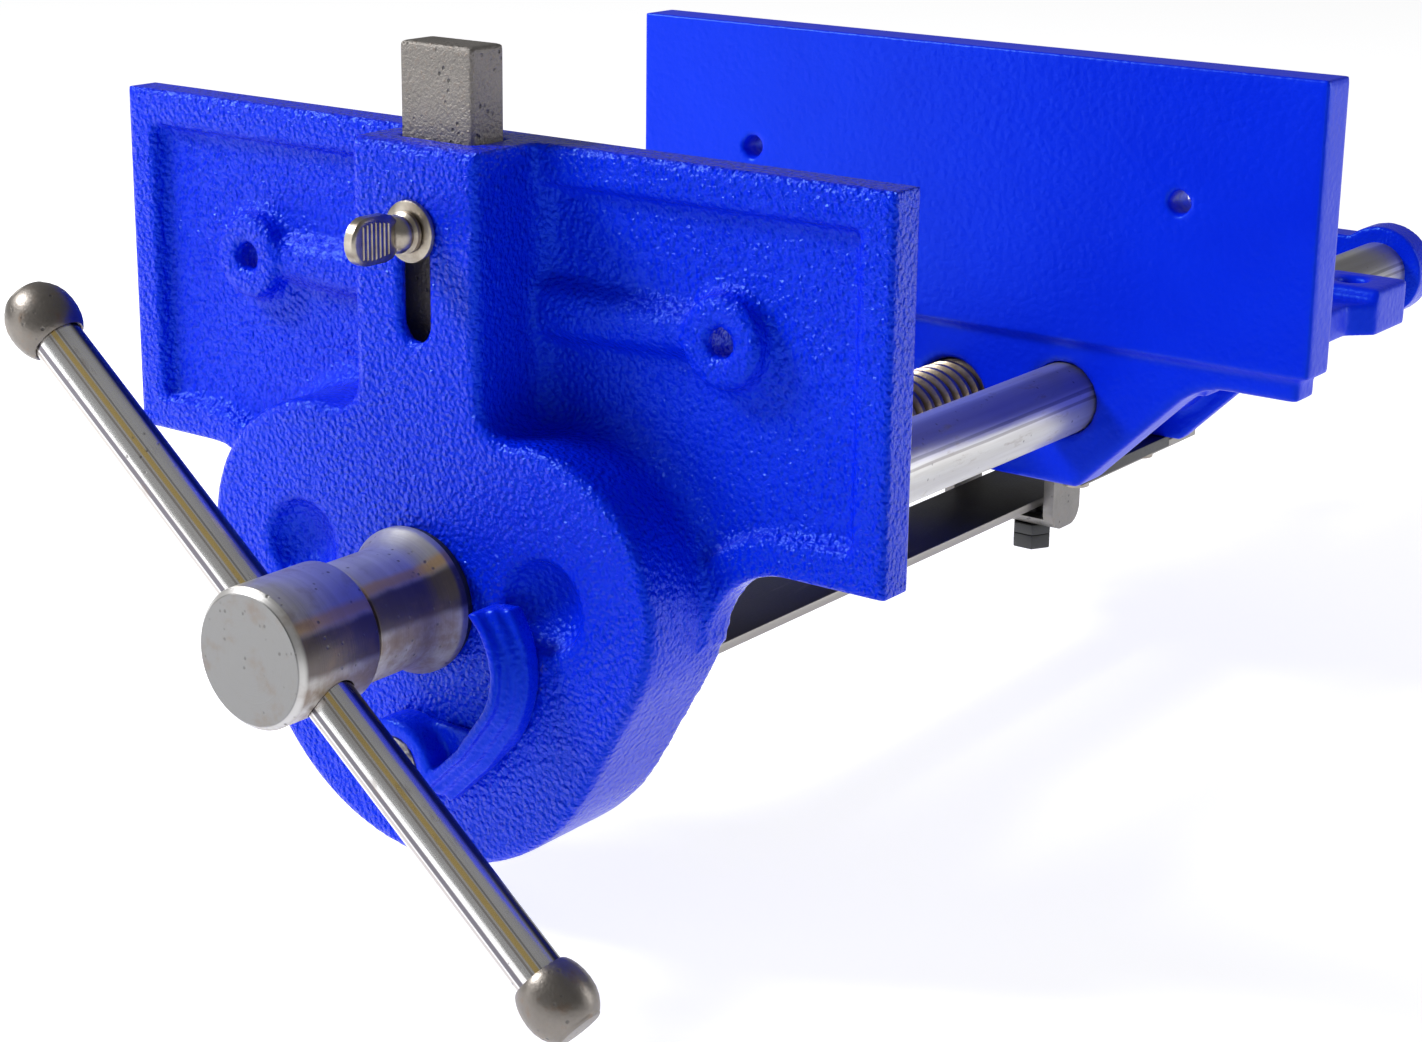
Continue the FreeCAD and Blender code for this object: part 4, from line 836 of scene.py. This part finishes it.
def alongBar(bm, middle):
    turn = Vector((0, 1, 0)).rotation_difference(barWay).to_matrix()
    bmesh.ops.rotate(bm, verts=bm.verts, cent=(0, 0, 0), matrix=turn)
    bmesh.ops.translate(bm, verts=bm.verts, vec=middle)


def tommyPieces():
    low, high = nodeSize("tommy_bar", frontFace)
    middle = (low + high) / 2
    radius, reach = tommy["radius"], tommy["reach"]
    bm = bmesh.new()
    turned(bm, [(-reach, 0), (-reach, radius), (reach, radius), (reach, 0)], steps=64)
    alongBar(bm, middle)
    piece("tommy_bar_rod", bm, frontFace, "tommy_bar", finishes["barSteel"], "polished_steel",
          stands=["tommy_bar"])
    for side, word in ((-1, "upper"), (1, "lower")):
        bm = bmesh.new()
        turned(bm, [(side * y, r) for y, r in tommy["ball"]], steps=72)
        alongBar(bm, middle)
        piece("tommy_ball_" + word + "_forged", bm, frontFace, "tommy_bar", finishes["ballSteel"],
              "forged_steel", stands=["tommy_ball_" + word], smooth=40)


tommyPieces()
print("tommy bar made")


dogSizes = dict(edge=0.9, skin=0.7, washerHole=4.3)


def dogPieces():
    low, high = nodeSize("dog", frontFace)
    bm = bmesh.new()
    slab(bm, box2d(low.x, low.y, high.x, high.y), low.z, high.z, axis="Z")
    cleaned(bm)
    rounded(bm, dogSizes["edge"], 3)
    thing = castSkin(asObject("dog", bm), dogSizes["skin"], 2)
    placed(thing, "dog_bar", frontFace, "dog", finishes["dogSteel"], "forged_steel", stands=["dog"],
           smooth=60)
    low, high = nodeSize("dog_washer", frontFace)
    hole, radius = dogSizes["washerHole"], (high.x - low.x) / 2
    bm = bmesh.new()
    turned(bm, [(low.y, hole), (low.y, radius - 0.5), (low.y + 0.2, radius - 0.15), (low.y + 0.6, radius),
                (high.y - 0.3, radius), (high.y, radius - 0.3), (high.y, hole)], up=(low.z + high.z) / 2,
           steps=64, closed=True)
    piece("dog_washer_plate", bm, frontFace, "dog", finishes["nickel"], "nickel_plate", stands=["dog_washer"])


spade = dict(half=1.3, tipRound=6.0, shoulder=9.5, neckHalf=3.2, edgeSteps=[(0.5, 0.45), (0.6, 0.2)],
             ridges=7, ridgeStart=4.0, ridgeGap=1.55, ridgeHalf=0.45, ridgeLow=1.6, ridgeTop=2.05,
             ridgeEdge=0.25)


def thumbShank(neck, up, back):
    bm = bmesh.new()
    turned(bm, [(neck - 7.0, 0), (neck - 7.0, 2.6), (neck - 6.0, 4.2), (neck - 4.2, 5.0), (neck - 3.6, 5.1),
                (neck - 3.0, 4.6), (neck - 2.2, 4.6), (neck - 1.6, 5.6), (neck - 0.4, 5.6), (neck, 5.2),
                (neck, 4.0), (back - 1, 4.0), (back, 3.0), (back, 0)], up=up, steps=48)
    piece("thumb_screw_shank", bm, frontFace, "thumb_screw", finishes["nickel"], "nickel_plate", smooth=40)


def thumbSpade(neck, up, tip, tall):
    # an oval blade with ridges across its flats
    reach, shoulder = spade["tipRound"], spade["shoulder"]
    lower = [(neck - 4.0, -spade["neckHalf"]), (neck - 7.0, -tall + 0.6), (neck - shoulder, -tall)]
    oval = [(tip + reach - reach * math.sin(math.radians(a)), -tall * math.cos(math.radians(a)))
            for a in range(0, 181, 15)]
    blade = lower + oval + [(y, -z) for y, z in reversed(lower)]
    bm = bmesh.new()
    cap = slab(bm, [(y, up + z) for y, z in blade], -spade["half"], spade["half"], axis="X")
    stepped(bm, cap, spade["edgeSteps"], axis="X")
    other = [f for f in bm.faces if f is not cap and len(f.verts) == len(blade)][0]
    stepped(bm, other, [(inset, -move) for inset, move in spade["edgeSteps"]], axis="X")
    half, edge = spade["ridgeHalf"], spade["ridgeEdge"]
    for side in (-1, 1):
        for number in range(spade["ridges"]):
            at = tip + spade["ridgeStart"] + number * spade["ridgeGap"]
            wide = tall - 1.3 - abs(number - 2.5) * 0.25
            outline = box2d(at - half, up - wide, at + half, up + wide)
            ridge = slab(bm, outline, side * spade["ridgeLow"], side * spade["ridgeTop"], axis="X")
            stepped(bm, ridge, [(edge, side * edge)], axis="X")
    piece("thumb_screw_spade", bm, frontFace, "thumb_screw", finishes["nickel"], "nickel_plate",
          stands=["thumb_screw"], smooth=35)


def thumbScrew():
    washerLow, washerHigh = nodeSize("dog_washer", frontFace)
    low, high = nodeSize("thumb_screw", frontFace)
    neck = washerLow.y - 0.3
    up = (washerLow.z + washerHigh.z) / 2
    thumbShank(neck, up, high.y)
    thumbSpade(neck, up, low.y, (high.z - low.z) / 2)


dogPieces()
thumbScrew()
print("dog and thumb screw made")


yoke = dict(end=19.0, half=13.7, middle=19.0, bushHole=12.0, skin=0.9)


def guideRods():
    for side, word in ((-1, "left"), (1, "right")):
        low, high = nodeSize("guide_rod_" + word, frontFace)
        bm = bmesh.new()
        turned(bm, [(low.y, 0), (low.y, rodRadius - 1), (low.y + 1, rodRadius), (high.y - 1, rodRadius),
                    (high.y, rodRadius - 1), (high.y, 0)], side * rodAcross, rodUp, steps=96)
        piece("guide_rod_" + word + "_bar", bm, frontFace, "front_jaw", finishes["rodSteel"],
              "polished_steel", stands=["guide_rod_" + word])


def yokeCasting():
    # a bar with round ends, and a ring round the screw's bush
    low, high = nodeSize("yoke", frontFace)
    end, half = yoke["end"], yoke["half"]
    inner = rodAcross - math.sqrt(end ** 2 - half ** 2) - 2
    swing = math.degrees(math.asin(half / end))
    right = arc(rodAcross, rodUp, end, 180 - swing, swing - 180, 40)
    outline = bothSides([(inner, rodUp + half)] + right + [(inner, rodUp - half)])
    thing = solidOf(slab, outline, low.y, high.y)
    combined(thing, solidOf(slab, circle(0, screwUp, yoke["middle"]), low.y, high.y), "UNION")
    hole = circle(0, screwUp, yoke["bushHole"])
    combined(thing, solidOf(slab, hole, low.y - past, high.y + past), "DIFFERENCE")
    castSkin(thing, yoke["skin"], 3)
    placed(thing, "yoke_casting", frontFace, "front_jaw", finishes["smallBlue"], "blue_enamel",
           stands=["yoke"], smooth=80)


guideRods()
yokeCasting()
print("guides made")


trigger = dict(across=14.0, up=33.0, radius=20.5, tip=52, turn=-30, web=8.0,
               ridges=((8.6, 5.6), (5.8, 3.0), (2.8, 0.0)), hub=13.0, hubFront=1.5, shaftHole=8.05, skin=0.7,
               stripNose=18.5, noseHalf=6.0, stripEdge=0.45)


def triggerLever():
    low, high = nodeSize("trigger_lever", frontFace)
    back, front = high.y, low.y
    # the finger web is low and its inner edge stands up in steps as a narrow ridge
    across, up, radius = trigger["across"], triggerUp + trigger["up"], trigger["radius"]
    inner = arc(across, up, radius, trigger["tip"], trigger["turn"], 16)
    outer = arc(9.0, triggerUp + 32.0, 33.5, -35, 33, 16)
    web = [(2.0, triggerUp + 12.0), (22.0, triggerUp + 12.0)] + inner[::-1] + outer[::-1]
    web += [(25.0, triggerUp + 0.5), (14.0, triggerUp - 6.5), (6.0, triggerUp - 9.0)]
    thing = solidOf(slab, web, back, front + trigger["web"])
    for width, level in trigger["ridges"]:
        ridge = inner + [(22.0, triggerUp + 9.5), (9.0, triggerUp - 3.0)]
        ridge += [(9.0 + width * 0.7, triggerUp - 3.0 - width * 0.7),
                  (22.0 + width * 0.8, triggerUp + 9.5 - width * 0.6)]
        ridge += arc(across, up, radius + width, trigger["turn"], trigger["tip"] - width * 1.6, 16)
        combined(thing, solidOf(slab, ridge, back, front + level), "UNION")
    edge = trigger["hubFront"]
    bm = bmesh.new()
    cap = slab(bm, circle(0, triggerUp, trigger["hub"], 60), back, front + edge)
    stepped(bm, cap, roundSteps(edge, -1, 3))
    combined(thing, asObject("hub", bm), "UNION")
    hole = circle(0, triggerUp, trigger["shaftHole"])
    combined(thing, solidOf(slab, hole, back + past, front - past), "DIFFERENCE")
    castSkin(thing, trigger["skin"], 5)
    placed(thing, "trigger_casting", frontFace, "trigger", finishes["smallBlue"], "blue_enamel",
           stands=["trigger_lever"], smooth=80)


def releaseStrip():
    # a sheared strip with a narrower nose
    low, high = nodeSize("release_bar", frontFace)
    half, start = trigger["noseHalf"], low.y + trigger["stripNose"]
    bm = bmesh.new()
    slab(bm, box2d(low.x, start, high.x, high.y), low.z, high.z, axis="Z")
    slab(bm, box2d(-half, low.y, half, start + 4), low.z + 0.02, high.z - 0.02, axis="Z")
    cleaned(bm)
    rounded(bm, trigger["stripEdge"], 2)
    piece("release_strip", bm, frontFace, "trigger", finishes["strip"], "black_steel", stands=["release_bar"])


triggerLever()
releaseStrip()
print("trigger made")


# each fitting keeps its frame shape and gets a finish and a broken edge of this width
fittings = dict(
    yoke_bush=("bronze", 0.4), yoke_bolts=("black", 0.5), yoke_washers=("nickel", 0.3),
    thrust_washer=("black", 0.2), retaining_collar=("collarSteel", 0.5), retaining_pin=("spring", 0.3),
    end_collar=("collarSteel", 0.6), end_pin=("spring", 0.3), trigger_shaft=("collarSteel", 0.3),
    trigger_pin=("spring", 0.2), release_rivet=("spring", 0.3), stop_pin=("spring", 0.4),
    half_nut=("bronze", 0.5), nut_stirrup=("stirrup", 0.5), stirrup_screws=("nickel", 0.3),
    adjuster_locknut=("black", 0.4), adjuster_bolt=("black", 0.4), nut_plate=("black", 0.4),
    plate_screws=("nickel", 0.3), nut_springs=("spring", 0.0),
)
stirrupBend = 7.0


def fittingCopy(node, edge):
    # a joined copy of the node, in millimetres below the jaw tops, with its sharp edges broken
    bm = bmesh.new()
    bm.from_mesh(frame["nodes"][node].data)
    bmesh.ops.scale(bm, verts=bm.verts, vec=(1 / mm,) * 3)
    bmesh.ops.remove_doubles(bm, verts=bm.verts, dist=0.002)
    bmesh.ops.dissolve_limit(bm, angle_limit=math.radians(1.5), verts=bm.verts, edges=bm.edges,
                             delimit={"NORMAL"})
    if edge:
        rounded(bm, edge, 2)
    mesh = bpy.data.meshes.new(node + "_fitting")
    bm.to_mesh(mesh)
    bm.free()
    thing = bpy.data.objects.new(node + "_fitting", mesh)
    bpy.context.scene.collection.objects.link(thing)
    mesh.transform(Matrix.Translation((0, 0, -jawTop / mm)))
    return thing


def bentStirrup(thing):
    # the strap's two lower corners are bends, not square
    low, high = nodeSize("nut_stirrup", 0)
    bend = stirrupBend
    side = [(low.y, high.z), (low.y, low.z + bend)]
    side += arc(low.y + bend, low.z + bend, bend, 180, 270, 8)[1:]
    side += arc(high.y - bend, low.z + bend, bend, 270, 360, 8) + [(high.y, high.z)]
    combined(thing, solidOf(slab, side, low.x, high.x, axis="X"), "INTERSECT")


def fittingPieces():
    bodies = frame["record"]["behaviour"]["bodies"]
    bodyOf = {node: body for body, members in bodies.items() for node in members}
    slotOf = {row["node"]: row["material_slot"] for row in frame["record"]["subparts"]}
    for node, (finish, edge) in fittings.items():
        thing = fittingCopy(node, edge)
        if node == "nut_stirrup":
            bentStirrup(thing)
        placed(thing, node + "_fitting", 0, bodyOf[node], finishes[finish], slotOf[node], stands=[node])


fittingPieces()
print("fittings made")


# a lamp is its place, its width and height in metres, and its power
stage = dict(drop=0.012, floor=9.0, glow=0.78, world=0.20, pale=(0.66, 0.66, 0.67, 1), aim=(0, -0.15, 0),
             lamps=dict(key=((-1.05, -0.95, 1.05), (0.5, 0.4), 27.0),
                        side=((1.25, 0.95, 0.2), (0.5, 1.3), 9.0),
                        front=((-1.0, -1.5, 0.3), (0.5, 0.8), 2.5)))


def paleFloor():
    bm = bmesh.new()
    bmesh.ops.create_grid(bm, x_segments=1, y_segments=1, size=stage["floor"])
    bmesh.ops.translate(bm, verts=bm.verts, vec=(0, 0, cadLow.z - stage["drop"]))
    mesh = bpy.data.meshes.new("floor")
    bm.to_mesh(mesh)
    bm.free()
    floor = bpy.data.objects.new("floor", mesh)
    bpy.context.scene.collection.objects.link(floor)
    pale = Finish("pale_floor", **{"Base Color": stage["pale"], "Roughness": 0.9, "Specular IOR Level": 0.1,
                                   "Emission Color": (1, 1, 1, 1), "Emission Strength": stage["glow"]})
    mesh.materials.append(pale.material)


def softLight():
    world = bpy.data.worlds.new("studio")
    bpy.context.scene.world = world
    world.use_nodes = True
    background = world.node_tree.nodes["Background"].inputs
    background["Color"].default_value = (1, 1, 1, 1)
    background["Strength"].default_value = stage["world"]
    for name, (spot, size, power) in stage["lamps"].items():
        lamp = bpy.data.lights.new(name, "AREA")
        lamp.shape = "RECTANGLE"
        lamp.size, lamp.size_y = size
        lamp.energy = power
        thing = bpy.data.objects.new(name, lamp)
        thing.location = spot
        thing.rotation_euler = (Vector(stage["aim"]) - Vector(spot)).to_track_quat("-Z", "Y").to_euler()
        bpy.context.scene.collection.objects.link(thing)


view = dict(spot=(0.46768, -0.87688, 0.20811), azimuth=36.337, elevation=15.676, roll=0.726, lens=67.85,
            shiftX=0.00723, shiftY=-0.05633)


def makeCamera():
    azimuth, elevation = math.radians(view["azimuth"]), math.radians(view["elevation"])
    back = Vector((math.sin(azimuth) * math.cos(elevation), -math.cos(azimuth) * math.cos(elevation),
                   math.sin(elevation)))
    lens = bpy.data.cameras.new("camera")
    lens.lens = view["lens"]
    lens.sensor_width = 36
    lens.shift_x = view["shiftX"]
    lens.shift_y = view["shiftY"]
    lens.clip_start = 0.01
    camera = bpy.data.objects.new("camera", lens)
    camera.location = view["spot"]
    roll = Matrix.Rotation(math.radians(view["roll"]), 4, "Z").to_quaternion()
    camera.rotation_euler = ((-back).to_track_quat("-Z", "Y") @ roll).to_euler()
    bpy.context.scene.collection.objects.link(camera)
    bpy.context.scene.camera = camera


paleFloor()
softLight()
makeCamera()
bpy.context.scene.view_settings.view_transform = "Standard"
print("studio set")
